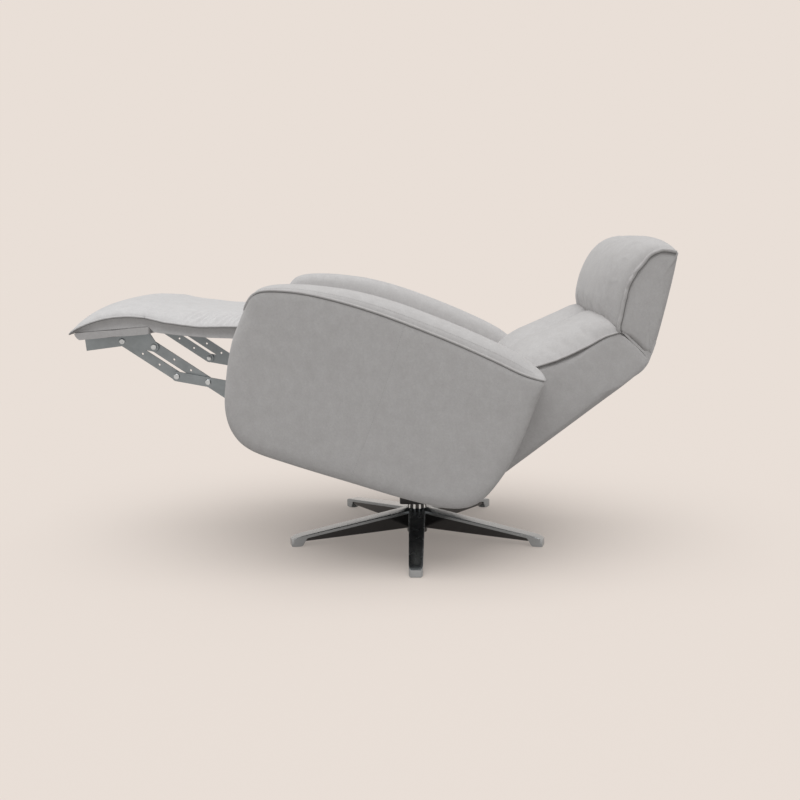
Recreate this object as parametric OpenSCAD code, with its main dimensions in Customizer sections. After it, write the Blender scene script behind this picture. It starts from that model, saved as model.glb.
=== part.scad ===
// Star base swivel recliner, reclined, with its leg rest out and its headrest flipped up.
// X runs across the chair (the sitter's left is +X), the front faces -Y, Z is up from the floor.

/* [Whole chair] */
// Width over both arms
chair_w = 770; // [720:5:820]
// Distance from the middle of the reclined length to the swivel axis
swivel_setback = 115; // [100:1:130]
// Backward tilt of the seat and arms, in degrees
seat_tilt = 18; // [12:1:18]
// Height of the tilt shaft above the floor
tilt_axis_z = 180; // [176:1:190]

/* [Arms] */
// Width of one arm
arm_w = 115; // [100:1:125]
// Length of an arm's side panel
arm_len = 724; // [700:2:760]
// Height of an arm's side panel
arm_h = 411; // [400:1:440]
// Distance from the swivel axis forward to the front of the arms
arm_front = 531; // [520:1:545]
// Height of the arms' lower edge above the floor with the seat level
arm_floor_gap = 191.5; // [180:0.5:205]
// Rise of the padded crown above the arm's top seam
arm_crown = 29; // [15:1:36]
// Rounding of the arm's lower, front and rear edges
arm_round = 18; // [10:1:24]
// Thickness of the plywood board on each arm's inner face, under the cushion
board_t = 18; // [12:1:24]

/* [Seat] */
// Height of the seat cushion's top with the seat level
seat_h = 480; // [470:1:495]
// Distance from the swivel axis forward to the front of the seat cushion
seat_front = 461; // [455:1:470]
// Puff of the seat cushion's top
seat_crown = 12; // [6:1:18]
// Space between the cushions and the arms on each side
side_gap = 4; // [3:0.5:8]
// Side of the square rails under the cushion
rail = 30; // [25:1:35]
// Width of a webbing strap
strap_w = 50; // [40:1:60]
// Thickness of a webbing strap
strap_t = 3; // [2:0.5:4]
// Length of the calf pad from the seat front to the footrest
calf_len = 297; // [290:1:300]

/* [Back] */
// Slope of the back's rear face in the reclined position, in degrees above level
back_slope = 37.5; // [35:0.5:45]
// Distance from the swivel axis back to the back's pivot
back_pivot_y = 100.5; // [98:0.5:106]
// Height of the back's pivot with the seat level
back_pivot_z = 362; // [358:1:368]
// Radius of the back's rounded foot, about its pivot
back_foot_r = 110; // [100:1:112]
// Distance up the back from its pivot to the headrest hinge
back_len = 457; // [440:1:480]
// Distance of the headrest hinge behind the back's pivot line
neck_y = 84.6; // [80:0.2:90]
// Puff of the back cushion's two channels
back_crown = 58; // [40:1:64]
// Depth of the groove between the channels, as the share of the puff that it takes away
back_groove_share = 0.55; // [0.3:0.05:0.7]

/* [Headrest] */
// Length of the headrest from its hinge to its top seam
head_len = 252; // [235:1:270]
// Forward turn of the headrest from the line of the back, in degrees
head_turn = 39.3; // [30:0.1:42]
// Puff of the headrest cushion
head_crown = 44; // [30:1:48]
// Radius of the round clearance at the headrest hinge
neck_r = 9; // [8:0.5:11]
// Diameter of the rod that the headrest hinges on
head_rod_d = 10; // [8:1:12]

/* [Footrest] */
// Length of the footrest board
foot_board_len = 186; // [176:1:196]
// Thickness of the footrest board
foot_board_t = 17.5; // [14:0.5:20]
// Distance of the board's front end ahead of the front rivet
foot_board_ahead = 96; // [88:1:100]
// Rise of the footrest board from front to back when the seat is reclined, in degrees
foot_pitch = 4.5; // [2:0.5:7]
// Height of the board's underside above the front rivet
foot_board_up = 17; // [16:0.5:20]
// Height of the footrest cushion's side boxing
foot_boxing = 31; // [26:1:34]
// Puff of the footrest and calf cushions
foot_crown = 40; // [28:1:44]

/* [Footrest links] */
// Distance from an arm's inner face to the mechanism plate beside it
plate_inset = 78; // [74:1:84]
// Thickness of the link bars and plates
bar_t = 4; // [3:0.5:4]
// Space between neighbouring bars along a rivet
bar_gap = 1; // [0.5:0.1:1.5]
// Width of the link bars
bar_w = 25; // [22:1:27]
// Diameter of the rivets
rivet_d = 8; // [6:0.5:9]
// Radial running clearance round rivets and pins
run_gap = 0.06; // [0.04:0.01:0.08]
// Length of the front and upper links between rivets
link_len = 163; // [158:1:166]
// Distance between the two rivets at the outer end of the rear link
link_pair = 81.4; // [78:0.2:84]
// Length of the rear link from its inner rivet to its pivot
rear_len = 125; // [115:1:130]
// Length of the upper link beyond the inner rivet
tail_len = 85; // [70:1:90]
// Distance from the swivel axis forward to the rear link's pivot
link_pivot_y = 466.2; // [462:0.2:470]
// Depth of the rear link's pivot below the seat cushion's top
link_drop = 179.2; // [177:0.2:182]
// Droop of the rear link below level, with the seat level
rear_droop = 7.4; // [5:0.1:10]
// Rise of the front and upper links above level, with the seat level
front_rise = 16; // [13:0.1:19]
// Lean of the front and upper links from upright when the footrest is folded in
folded_lean = 24; // [22:1:28]
// Length of the control link between rivets
control_len = 175; // [165:1:180]
// Diameter of the holes along the links
link_hole_d = 5.5; // [4:0.5:7]

/* [Swivel] */
// Width of the black housing from front to back
housing_l = 94; // [80:2:100]
// Width of the black housing across the chair
housing_w = 150; // [130:5:180]
// Height of the black housing
housing_h = 40; // [34:1:44]
// Distance between the tilt bracket's ears
ears_gap = 200; // [180:5:240]
// Thickness of the tilt bracket
bracket_t = 6; // [4:0.5:8]
// Diameter of the tilt shaft
tilt_d = 20; // [16:1:24]
// Diameter of the swivel spindle
spindle_d = 28; // [24:1:30]

/* [Star base] */
// Radius of the circle that the five glides stand on
glide_circle_r = 340; // [320:5:360]
// Height of the hub's top above the floor
hub_h = 84; // [80:1:90]
// Outside diameter of the hub
hub_d = 57; // [54:1:62]
// Diameter of a foot glide
glide_d = 30; // [26:1:34]
// Height of a foot glide
glide_h = 11; // [9:1:13]
// Width of a leg at the hub
leg_root_w = 46; // [40:1:50]
// Width of a leg at its tip
leg_tip_w = 35; // [30:1:38]
// Height of a leg's top at the hub
leg_root_z = 74; // [68:1:78]
// Height of a leg's top at its tip
leg_tip_z = 25; // [23:1:30]
// Thickness of a leg's top flange
leg_t = 9; // [7:0.5:11]

/* [Hidden] */
$fn = 48;

// Overrun of every cut past the face that it opens
cut = 1;
// Clearance between soft pieces and what they touch
soft_gap = 0.4;

// Plane layers across the chair, for the left side; the right side is their mirror image
arm_in_x = chair_w / 2 - arm_w;
plate_x = arm_in_x - plate_inset;
outer_x = plate_x - bar_gap - bar_t;
middle_x = outer_x - bar_gap - bar_t;
inner_x = middle_x - bar_gap - bar_t;
soft_half = arm_in_x - side_gap;

// Puts a flat drawing with points [y, z] into the plane X = x, with a thickness towards +X
module at_x(x, t) translate([x, 0, 0]) rotate([90, 0, 90]) linear_extrude(t) children();
module pin_x(p, x0, x1, d) translate([x0, p[0], p[1]]) rotate([0, 90, 0]) cylinder(d = d, h = x1 - x0);
module both_sides() {
    children();
    mirror([1, 0, 0]) children();
}
function unit(v) = v / norm(v);
function turned(p, a) = [p[0] * cos(a) - p[1] * sin(a), p[0] * sin(a) + p[1] * cos(a)];
function toward(p, a, l) = p + l * [cos(a), sin(a)];

// A flat bar with round ends between two points
module bar2d(p, q, w) {
    a = angle_of(q - p);
    polygon(concat(arc(q, w / 2, a - 90, a + 90, 12), arc(p, w / 2, a + 90, a + 270, 12)));
}
module holes2d(points, d) for (p = points) translate(p) circle(d = d);

// Poses of the bodies
module in_seat() translate([0, swivel_setback, tilt_axis_z]) rotate([-seat_tilt, 0, 0])
    translate([0, 0, -tilt_axis_z]) children();
back_lean = 90 - back_slope - seat_tilt;
module in_back() in_seat() translate([0, back_pivot_y, back_pivot_z]) rotate([-back_lean, 0, 0]) children();
module in_headrest() in_back() translate([0, neck_y, back_len]) rotate([head_turn, 0, 0]) children();
module in_footrest() in_seat() translate([0, front_rivet[0], front_rivet[1]])
    rotate([seat_tilt + foot_pitch, 0, 0]) children();

// Rivet places of the footrest links, in the seat's plane, and their travel
link_pivot_z = seat_h - link_drop;
link_pivot = [-link_pivot_y, link_pivot_z];
rear_angle = 180 + rear_droop;
link_angle = 180 - front_rise;
inner_rivet = toward(link_pivot, rear_angle, rear_len);
outer_rivet = toward(inner_rivet, rear_angle, link_pair);
front_rivet = toward(outer_rivet, link_angle, link_len);
lug_rivet = toward(inner_rivet, link_angle, link_len);
tail_rivet = toward(inner_rivet, link_angle + 180, tail_len);
fold_turn = 90 - rear_droop;
link_turn = 90 + folded_lean - link_angle;
tail_folded = toward(toward(link_pivot, 270, rear_len), link_angle + link_turn + 180, tail_len);
chord = tail_folded - tail_rivet;
control_reach = sqrt(control_len * control_len - chord * chord / 4);
control_pivot = (tail_rivet + tail_folded) / 2 + control_reach * turned(unit(chord), 90);
function angle_of(v) = atan2(v[1], v[0]);
control_turn = 2 * asin(norm(chord) / 2 / control_len);
echo(link_pivot = link_pivot, inner_rivet = inner_rivet, outer_rivet = outer_rivet);
echo(front_rivet = front_rivet, lug_rivet = lug_rivet, tail_rivet = tail_rivet);
echo(tail_folded = tail_folded, control_pivot = control_pivot);
echo(fold_turn = fold_turn, link_turn = link_turn, control_turn = control_turn);

// Smooth closed curve through points [y, z, corner]; the curve has a corner where the third value is 1
function slope_at(p, i) = p[i][2] == 1 ? [0, 0]
    : (xy(p[(i + 1) % len(p)]) - xy(p[(i + len(p) - 1) % len(p)])) / 2;
function xy(p) = [p[0], p[1]];
function smooth(p, n) = [
    for (i = [0:len(p) - 1], j = [0:n - 1])
        let (t = j / n, q = (i + 1) % len(p))
        (2 * t * t * t - 3 * t * t + 1) * xy(p[i]) + (t * t * t - 2 * t * t + t) * slope_at(p, i)
        + (3 * t * t - 2 * t * t * t) * xy(p[q]) + (t * t * t - t * t) * slope_at(p, q)
];
function last(path) = path[len(path) - 1];
function reversed(path) = [for (i = [len(path) - 1:-1:0]) path[i]];
// Sideways directions of an open path, to its left
function sideways(path) = [
    for (i = [0:len(path) - 1])
        let (e = unit(path[min(i + 1, len(path) - 1)] - path[max(i - 1, 0)]))
        [-e[1], e[0]]
];
function offset_path(path, d) = let (s = sideways(path)) [for (i = [0:len(path) - 1]) path[i] + d * s[i]];
function smooth_open(p, n) = concat([
    for (i = [0:len(p) - 2], j = [0:n - 1])
        let (t = j / n,
             a = i == 0 ? p[1] - p[0] : (p[i + 1] - p[i - 1]) / 2,
             b = i == len(p) - 2 ? p[i + 1] - p[i] : (p[i + 2] - p[i]) / 2)
        (2 * t * t * t - 3 * t * t + 1) * p[i] + (t * t * t - 2 * t * t + t) * a
        + (3 * t * t - 2 * t * t * t) * p[i + 1] + (t * t * t - t * t) * b
], [last(p)]);
function arc(c, r, a0, a1, n) = [for (i = [0:n]) toward(c, a0 + (a1 - a0) * i / n, r)];
// Outward directions of an outline that runs up the front, over the top and down the rear
function outward(p) = [
    for (i = [0:len(p) - 1])
        let (d = unit(p[(i + 1) % len(p)] - p[(i + len(p) - 1) % len(p)]))
        [-d[1], d[0]]
];

// Stations across a padded piece: [share of the half width, dome, rounding]
function dome(u) = pow(max(0, 1 - u * u), 0.6);
function full_dome(u) = pow(max(0, 1 - pow(abs(u), 3.2)), 0.55);
full_shares = [0, 0.5, 0.76, 0.88, 0.95, 0.985, 1];
full_stations = concat(
    [for (i = [6:-1:1]) [-full_shares[i], full_dome(full_shares[i]), 0]],
    [for (u = full_shares) [u, full_dome(u), 0]]
);
function rounded_stations(half, r) = let (
    ends = [for (a = [90, 60, 30, 0]) [1 - r / half * (1 - sin(a)), 1 - cos(a)]],
    right = [for (e = ends) [e[0], dome(e[0]), e[1]]],
    middle = [for (u = [0.4, 0]) [u, dome(u), 0]],
    half_list = concat(right, middle))
    concat([for (s = half_list) [-s[0], s[1], s[2]]], [for (i = [len(half_list) - 2:-1:0]) half_list[i]]);
function channel_dome(v) = pow(max(0, 1 - v * v), 0.5);
function channel_stations(groove) = let (
    one = [[0, 1 - groove], [0.06, 0.72], [0.16, 0.88], [0.32, 0.97], [0.5, 1], [0.7, 0.95], [0.86, 0.8],
           [0.96, 0.5], [1, 0]])
    concat([for (i = [len(one) - 1:-1:1]) [-one[i][0], one[i][1], 0]], [for (s = one) [s[0], s[1], 0]]);

// Closed skin of a padded piece: the outline is carried across the width and puffs out at each station
module padded(outline, crowns, rounds, half, stations, directions = undef) {
    n = len(outline);
    out = directions == undef ? outward(outline) : directions;
    points = [
        for (s = stations, k = [0:n - 1])
            let (p = outline[k] + out[k] * (crowns[k] * s[1] - rounds[k] * s[2]))
            [s[0] * half, p[0], p[1]]
    ];
    end = (len(stations) - 1) * n;
    sides = [
        for (j = [0:len(stations) - 2], k = [0:n - 1])
            let (a = j * n + k, b = j * n + (k + 1) % n)
            each [[a, b, b + n], [a, b + n, a + n]]
    ];
    caps = [
        for (k = [0:n / 2 - 2])
            let (m = n - 1 - k)
            each [
                [end + k, end + k + 1, end + m - 1], [end + k, end + m - 1, end + m],
                [k + 1, k, m], [m - 1, k + 1, m]
            ]
    ];
    polyhedron(points = points, faces = concat(sides, caps));
}

// A pad between two paths of equal length that both run from front to rear or upward; its upper path
// puffs out by a crown that varies along it, given as [share of the length, share of the crown]
module puffed(upper, lower, crown, shares, half, stations) {
    n = len(upper);
    padded(
        concat(upper, reversed(lower)),
        [for (i = [0:2 * n - 1]) i < n ? crown * lookup(i / (n - 1), shares) : 0],
        [for (i = [0:2 * n - 1]) 0],
        half, stations,
        concat(sideways(upper), [for (v = reversed(sideways(lower))) -v])
    );
}

// Star base: a hub with five tapering legs, each a bevelled top flange over a hollow-sided web
leg_reach = glide_circle_r + leg_tip_w / 2;
leg_start = hub_d / 2 - leg_t;
leg_bevel = leg_t / 3;
module flange_end(r, w, z) {
    top = w / 2 - leg_bevel * 2;
    translate([r, 0, z]) rotate([90, 0, 90]) linear_extrude(cut)
        polygon([
            [-w / 2, -leg_t], [w / 2, -leg_t], [w / 2, -leg_bevel],
            [top, 0], [-top, 0], [-w / 2, -leg_bevel]
        ]);
}
module leg() {
    web_root_w = leg_root_w * web_share;
    web_tip_w = leg_tip_w * web_share;
    hull() {
        flange_end(leg_start, leg_root_w, leg_root_z);
        flange_end(leg_reach - cut, leg_tip_w, leg_tip_z);
    }
    intersection() {
        rotate([90, 0, 0]) linear_extrude(leg_root_w, center = true) polygon([
            [leg_start, leg_root_z - leg_t],
            [leg_reach, leg_tip_z - leg_t],
            [leg_reach, glide_h],
            [leg_reach - leg_tip_w, glide_h],
            [leg_reach - leg_tip_w * web_back_share, leg_tip_z - leg_t - cut],
            [leg_start, web_root_z]
        ]);
        linear_extrude(leg_root_z) polygon([
            [leg_start, -web_root_w / 2], [leg_reach, -web_tip_w / 2],
            [leg_reach, web_tip_w / 2], [leg_start, web_root_w / 2]
        ]);
    }
}
web_share = 0.78;
web_back_share = 1.5;
web_root_z = 25;
hub_floor = 10;
hub_wall_bore = spindle_d + 12;
flute_r = 9;
stem_d = 8;
module star_base() color([0.62, 0.64, 0.65]) translate([0, swivel_setback, 0]) difference() {
    union() {
        rotate_extrude() polygon([
            [0, hub_floor], [hub_d / 2 - leg_bevel, hub_floor], [hub_d / 2, hub_floor + leg_bevel],
            [hub_d / 2, leg_root_z - leg_t], [hub_d / 2 - leg_bevel, leg_root_z],
            [hub_d / 2 - leg_t / 2, hub_h], [0, hub_h]
        ]);
        for (i = [0:4]) rotate(72 * i) leg();
    }
    translate([0, 0, hub_floor - cut]) cylinder(d = hub_wall_bore, h = hub_h);
    for (i = [0:4]) rotate(72 * i + 36) translate([hub_d / 2 + flute_r * 0.45, 0, leg_root_z - leg_t])
        cylinder(r = flute_r, h = hub_h);
    for (i = [0:4]) rotate(72 * i) translate([glide_circle_r, 0, 0])
        cylinder(d = stem_d + 2 * run_gap, h = leg_tip_z - leg_t);
}
module foot_glides() color([0.45, 0.46, 0.47]) translate([0, swivel_setback, 0])
    for (i = [0:4]) rotate(72 * i) translate([glide_circle_r, 0, 0]) {
        rotate_extrude() polygon([
            [0, 0], [glide_d / 2 - leg_bevel, 0], [glide_d / 2, leg_bevel / 2],
            [glide_d / 2, glide_h], [0, glide_h]
        ]);
        cylinder(d = stem_d, h = leg_tip_z - leg_t - cut);
    }
bush_top = hub_h;
module hub_bush() color([0.2, 0.2, 0.2]) translate([0, swivel_setback, hub_floor]) difference() {
    cylinder(d = hub_wall_bore - 2 * run_gap, h = bush_top - hub_floor);
    translate([0, 0, -cut]) cylinder(d = spindle_d + 2 * run_gap, h = hub_h);
}
clip_t = 3;
clip_d = spindle_d + 8;
module spindle_clip() color([0.4, 0.4, 0.42]) translate([0, swivel_setback, hub_floor - clip_t - cut / 2])
    difference() {
        cylinder(d = clip_d, h = clip_t);
        translate([0, 0, -cut]) cylinder(d = clip_groove_d, h = clip_t + 2 * cut);
    }
clip_groove_d = spindle_d - 4;

// Spindle, washer, housing and bracket that carry the tilt shaft
washer_t = 2;
flange_t = 6;
flange_d = 74;
flange_z = hub_h + washer_t;
module spindle() color([0.5, 0.5, 0.52]) translate([0, swivel_setback, 0]) {
    clip_z = hub_floor - clip_t - cut / 2;
    rotate_extrude() polygon([
        [0, clip_z - cut], [spindle_d / 2 - cut, clip_z - cut], [spindle_d / 2 - cut, clip_z],
        [clip_groove_d / 2, clip_z], [clip_groove_d / 2, clip_z + clip_t], [spindle_d / 2, clip_z + clip_t],
        [spindle_d / 2, flange_z], [flange_d / 2, flange_z], [flange_d / 2, flange_z + flange_t],
        [0, flange_z + flange_t]
    ]);
}
module thrust_washer() color([0.75, 0.75, 0.7]) translate([0, swivel_setback, hub_h]) difference() {
    cylinder(d = hub_d - leg_t, h = washer_t);
    translate([0, 0, -cut]) cylinder(d = spindle_d + 2 * run_gap, h = washer_t + 2 * cut);
}
plate_z = flange_z + flange_t;
ear_r = tilt_d / 2 + 12;
bracket_l = housing_l - 14;
module tilt_bracket() color([0.16, 0.16, 0.17]) translate([0, swivel_setback, 0]) {
    base_z = flange_z + housing_h;
    translate([-ears_gap / 2 - bracket_t, -bracket_l / 2, base_z])
        cube([ears_gap + 2 * bracket_t, bracket_l, bracket_t]);
    for (x = [-ears_gap / 2 - bracket_t, ears_gap / 2]) at_x(x, bracket_t) difference() {
        union() {
            polygon([
                [-bracket_l / 2, base_z], [bracket_l / 2, base_z], [bracket_l / 2, base_z + bracket_t],
                [ear_r, tilt_axis_z], [-ear_r, tilt_axis_z], [-bracket_l / 2, base_z + bracket_t]
            ]);
            translate([0, tilt_axis_z]) circle(r = ear_r);
        }
        translate([0, tilt_axis_z]) circle(d = bush_d);
    }
    translate([0, 0, plate_z]) cylinder(d = spindle_d, h = base_z - plate_z);
}
bush_d = tilt_d + 6;
module tilt_bushes() color([0.2, 0.2, 0.2]) translate([0, swivel_setback, 0]) both_sides()
    at_x(ears_gap / 2 - cut, bracket_t + 2 * cut) translate([0, tilt_axis_z]) difference() {
        circle(d = bush_d);
        circle(d = tilt_d + 2 * run_gap);
    }
housing_wall = 3;
module swivel_housing() color([0.06, 0.06, 0.07]) translate([0, swivel_setback, flange_z]) difference() {
    translate([-housing_w / 2, -housing_l / 2, 0]) cube([housing_w, housing_l, housing_h]);
    translate([0, 0, -cut]) cylinder(d = flange_d + 2 * run_gap, h = flange_t + cut);
    inner_w = housing_w - 2 * housing_wall;
    inner_l = housing_l - 2 * housing_wall;
    translate([-inner_w / 2, -inner_l / 2, flange_t])
        cube([inner_w, inner_l, housing_h - flange_t - housing_wall]);
    cylinder(d = spindle_d + 2 * run_gap, h = housing_h + cut);
}

// Seat: tilt shaft, mechanism plates, rails, straps and cushion
module tilt_shaft() color([0.5, 0.5, 0.52]) in_seat()
    pin_x([0, tilt_axis_z], -plate_x - bar_t - cut, plate_x + bar_t + cut, tilt_d);
beam_w = 36;
rail_z = link_pivot_z + beam_w / 2 + 2;
beam_z = rail_z - beam_w / 2;
rear_rail_y = -62;
front_rail_y = rail / 2 + 16 - seat_front + rail / 2;
back_pivot = [back_pivot_y, back_pivot_z];
back_pin_d = 12;
module mechanism_plate() at_x(plate_x, bar_t) difference() {
    union() {
        bar2d([-link_pivot_y + beam_w / 2, beam_z], [rear_rail_y, beam_z], beam_w);
        bar2d(link_pivot, [-link_pivot_y + 2 * beam_w, beam_z], beam_w - 4);
        bar2d([rear_rail_y + 4, beam_z - beam_w / 2], back_pivot, beam_w);
        bar2d([rear_rail_y, beam_z - 4], [0, tilt_axis_z], beam_w + 4);
        bar2d([rear_rail_y - 3 * beam_w, beam_z - 2], [0, tilt_axis_z], beam_w);
        bar2d([control_pivot[0] + beam_w / 2, beam_z], control_pivot, beam_w - 4);
    }
    translate(link_pivot) circle(d = rivet_d + 2 * run_gap);
    translate(control_pivot) circle(d = rivet_d);
    translate([0, tilt_axis_z]) circle(d = tilt_d);
    translate(back_pivot) circle(d = back_pin_d);
}
module mechanism_plate_left() color([0.3, 0.31, 0.31]) in_seat() mechanism_plate();
module mechanism_plate_right() color([0.3, 0.31, 0.31]) in_seat() mirror([1, 0, 0]) mechanism_plate();

rail_wall = 2;
foot_plate_t = 5;
foot_plate_l = 84;
bolt_d = 8;
bolt_spread = 54;
bolt_head = 5;
module cross_rail(y) in_seat() translate([0, y, rail_z]) {
    inner = rail - 2 * rail_wall;
    tube_half = arm_in_x - board_t - foot_plate_t;
    difference() {
        translate([-tube_half, -rail / 2, 0]) cube([2 * tube_half, rail, rail]);
        translate([-tube_half - cut, -inner / 2, rail_wall]) cube([2 * tube_half + 2 * cut, inner, inner]);
    }
    both_sides() difference() {
        translate([tube_half, -foot_plate_l / 2, 0]) cube([foot_plate_t, foot_plate_l, rail]);
        for (s = [-1, 1])
            pin_x([s * bolt_spread / 2, rail / 2], tube_half - cut, arm_in_x, bolt_d + 2 * run_gap);
    }
}
module front_rail() color([0.3, 0.31, 0.31]) cross_rail(front_rail_y);
module rear_rail() color([0.3, 0.31, 0.31]) cross_rail(rear_rail_y);
module arm_bolts() color([0.55, 0.55, 0.57]) in_seat() both_sides()
    for (y = [front_rail_y, rear_rail_y], s = [-1, 1]) {
        p = [y + s * bolt_spread / 2, rail_z + rail / 2];
        face_x = arm_in_x - board_t - foot_plate_t;
        pin_x(p, face_x, arm_in_x - cut, bolt_d);
        pin_x(p, face_x - bolt_head, face_x, 1.7 * bolt_d);
    }

cushion_floor = rail_z + rail + strap_t + soft_gap;
strap_pitch = (2 * soft_half - strap_w) / 5;
module seat_webbing() color([0.12, 0.12, 0.12]) in_seat() for (i = [-2:2])
    translate([i * strap_pitch - strap_w / 2, front_rail_y - rail / 2, rail_z + rail])
        cube([strap_w, rear_rail_y - front_rail_y + rail, strap_t]);

seat_thick = seat_h - cushion_floor;
hollow_r = back_foot_r + side_gap;
lip_share = 0.22;
back_swing = 26;
function back_up(p) = back_pivot + turned(p, back_swing - back_lean);
seat_rear_low = back_up([-0.92 * back_foot_r - side_gap, 0.08 * back_len]);
seat_rear_high = back_up([-0.8 * back_foot_r - side_gap, 0.26 * back_len]);
seat_top_y = seat_rear_high[0] - 2 * side_gap;
seat_outline = concat(
    [[-seat_front + seat_thick * lip_share * 0.4, cushion_floor],
     [-seat_front, cushion_floor + seat_thick * 0.18],
     [-seat_front, seat_h - seat_thick * 0.45],
    [-seat_front + seat_thick * 0.07, seat_h - seat_thick * 0.2],
     [-seat_front + seat_thick * 0.25, seat_h - seat_thick * 0.05]],
    [for (s = [0.1, 0.25, 0.4, 0.55, 0.7, 0.85])
        [-seat_front + s * (seat_top_y + seat_front), seat_h + seat_thick * 0.03 * sin(180 * s)]],
    [[seat_top_y + 2, seat_h - seat_thick * 0.06], (seat_rear_low + seat_rear_high) / 2, seat_rear_low],
    [[back_pivot_y - hollow_r, seat_h - seat_thick * 0.75], [back_pivot_y - hollow_r, cushion_floor]],
    [for (s = [0.8, 0.6, 0.4, 0.2]) [-seat_front + s * (back_pivot_y - hollow_r + seat_front), cushion_floor]]
);
seat_crowns = [for (p = seat_outline)
    (p[1] > seat_h - seat_thick * 0.1 && p[0] < seat_top_y - cut) ? seat_crown : 0];
module seat_cushion() color([0.72, 0.71, 0.71]) in_seat()
    padded(seat_outline, seat_crowns, [for (p = seat_outline) seat_crown], soft_half,
        rounded_stations(soft_half, 2 * seat_crown));

// Arms: a rounded side panel with a padded crown between its two top seams
arm_shares = [
    [0, 0.569], [0.003, 0.69], [0.011, 0.8], [0.026, 0.88], [0.06, 0.925], [0.166, 0.972], [0.296, 0.993],
    [0.43, 1], [0.565, 0.994], [0.702, 0.979], [0.841, 0.951], [0.94, 0.927], [1, 0.94, 1], [1, 0.76],
    [0.994, 0.52], [0.972, 0.3], [0.925, 0.115], [0.843, 0.034], [0.7, 0.008], [0.5, 0.003], [0.3, 0],
    [0.16, 0.01], [0.085, 0.075], [0.038, 0.2], [0.012, 0.39]
];
arm_points = [for (s = arm_shares) [-arm_front + s[0] * arm_len, arm_floor_gap + s[1] * arm_h, s[2]]];
arm_outline = smooth(arm_points, 2);
function on_arm_top(p) = p[1] > arm_floor_gap + 0.9 * arm_h && p[0] < arm_len - arm_front - cut;
arm_crowns = [for (p = arm_outline) on_arm_top(p)
    ? arm_crown * pow(max(0, sin(180 * ((p[0] + arm_front) / arm_len - 0.02) / 0.97)), 0.5) : 0];
arm_rounds = [for (p = arm_outline) on_arm_top(p) ? 0 : arm_round];
board_front = front_rail_y - foot_plate_l / 2 - 4;
board_rear = rear_rail_y + foot_plate_l / 2 + 4;
board_low = arm_floor_gap + arm_round + 6;
board_high = cushion_floor - soft_gap;
module arm() in_seat() translate([chair_w / 2 - arm_w / 2, 0, 0])
    padded(arm_outline, arm_crowns, arm_rounds, arm_w / 2, rounded_stations(arm_w / 2, arm_round));
module arm_left() color([0.72, 0.71, 0.71]) arm();
module arm_right() color([0.72, 0.71, 0.71]) mirror([1, 0, 0]) arm();
module arm_board() in_seat() difference() {
    at_x(arm_in_x - board_t, board_t) translate([board_front, board_low])
        square([board_rear - board_front, board_high - board_low]);
    for (y = [front_rail_y, rear_rail_y], s = [-1, 1])
        pin_x([y + s * bolt_spread / 2, rail_z + rail / 2], arm_in_x - board_t - cut, arm_in_x + cut,
            bolt_d + 2 * run_gap);
}
module arm_board_left() color([0.75, 0.6, 0.42]) arm_board();
module arm_board_right() color([0.75, 0.6, 0.42]) mirror([1, 0, 0]) arm_board();

// Pins that the moving pieces turn on, fixed in the mechanism plates
head_t = 3;
head_d = 2 * rivet_d;
module headed_pin(p, x_in, d, hd) {
    pin_x(p, x_in, plate_x + bar_t, d);
    pin_x(p, plate_x + bar_t, plate_x + bar_t + head_t, hd);
    pin_x(p, x_in - head_t, x_in, hd);
}
module footrest_pivot_pins() color([0.6, 0.61, 0.62]) in_seat() both_sides()
    headed_pin(link_pivot, outer_x - run_gap, rivet_d, head_d);
module control_pivot_pins() color([0.6, 0.61, 0.62]) in_seat() both_sides() difference() {
    headed_pin(control_pivot, inner_x - run_gap, rivet_d, head_d);
}
module back_pivot_pins() color([0.6, 0.61, 0.62]) in_seat() both_sides() {
    pin_x(back_pivot, plate_x, plate_x + bar_t + bar_gap + back_bar_t + run_gap, back_pin_d);
    pin_x(back_pivot, plate_x - head_t, plate_x, back_pin_d + rivet_d);
}

// Calf pad: the soft half of the leg rest that bridges the footrest and the seat
pad_floor = foot_board_up + foot_board_t + soft_gap;
pad_front = foot_board_ahead + 12;
foot_top_shares = [
    [0, 0.03], [0.062, 0.36], [0.155, 0.6], [0.3, 0.82], [0.464, 0.96], [0.62, 1], [0.773, 0.94],
    [0.918, 0.8], [1, 0.72]
];
foot_pad_len = 194;
foot_top = [for (s = foot_top_shares) [-pad_front + s[0] * foot_pad_len, pad_floor + s[1] * foot_boxing]];
calf_start = front_rivet + turned(last(foot_top), seat_tilt + foot_pitch) + [soft_gap * 2, 0];
calf_at = [[0.67, 56], [0.3, 30], [0, 4]];
calf_low_at = [[0.75, 102], [0.55, 82], [0.3, 58], [0, 32]];
function calf_point(c) = [-seat_front - soft_gap - calf_len * c[0], seat_h - c[1]];
calf_top = smooth_open(concat([calf_start], [for (c = calf_at) calf_point(c)]), 4);
calf_low = smooth_open([for (c = calf_low_at) calf_point(c)], 4);
calf_crown_shares = [[0, 1], [0.6, 1], [0.85, 0.8], [1, 0.35]];
module calf_pad() color([0.8, 0.79, 0.79]) in_seat()
    puffed(calf_top, calf_low, foot_crown, calf_crown_shares, soft_half - 12, full_stations);

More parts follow.
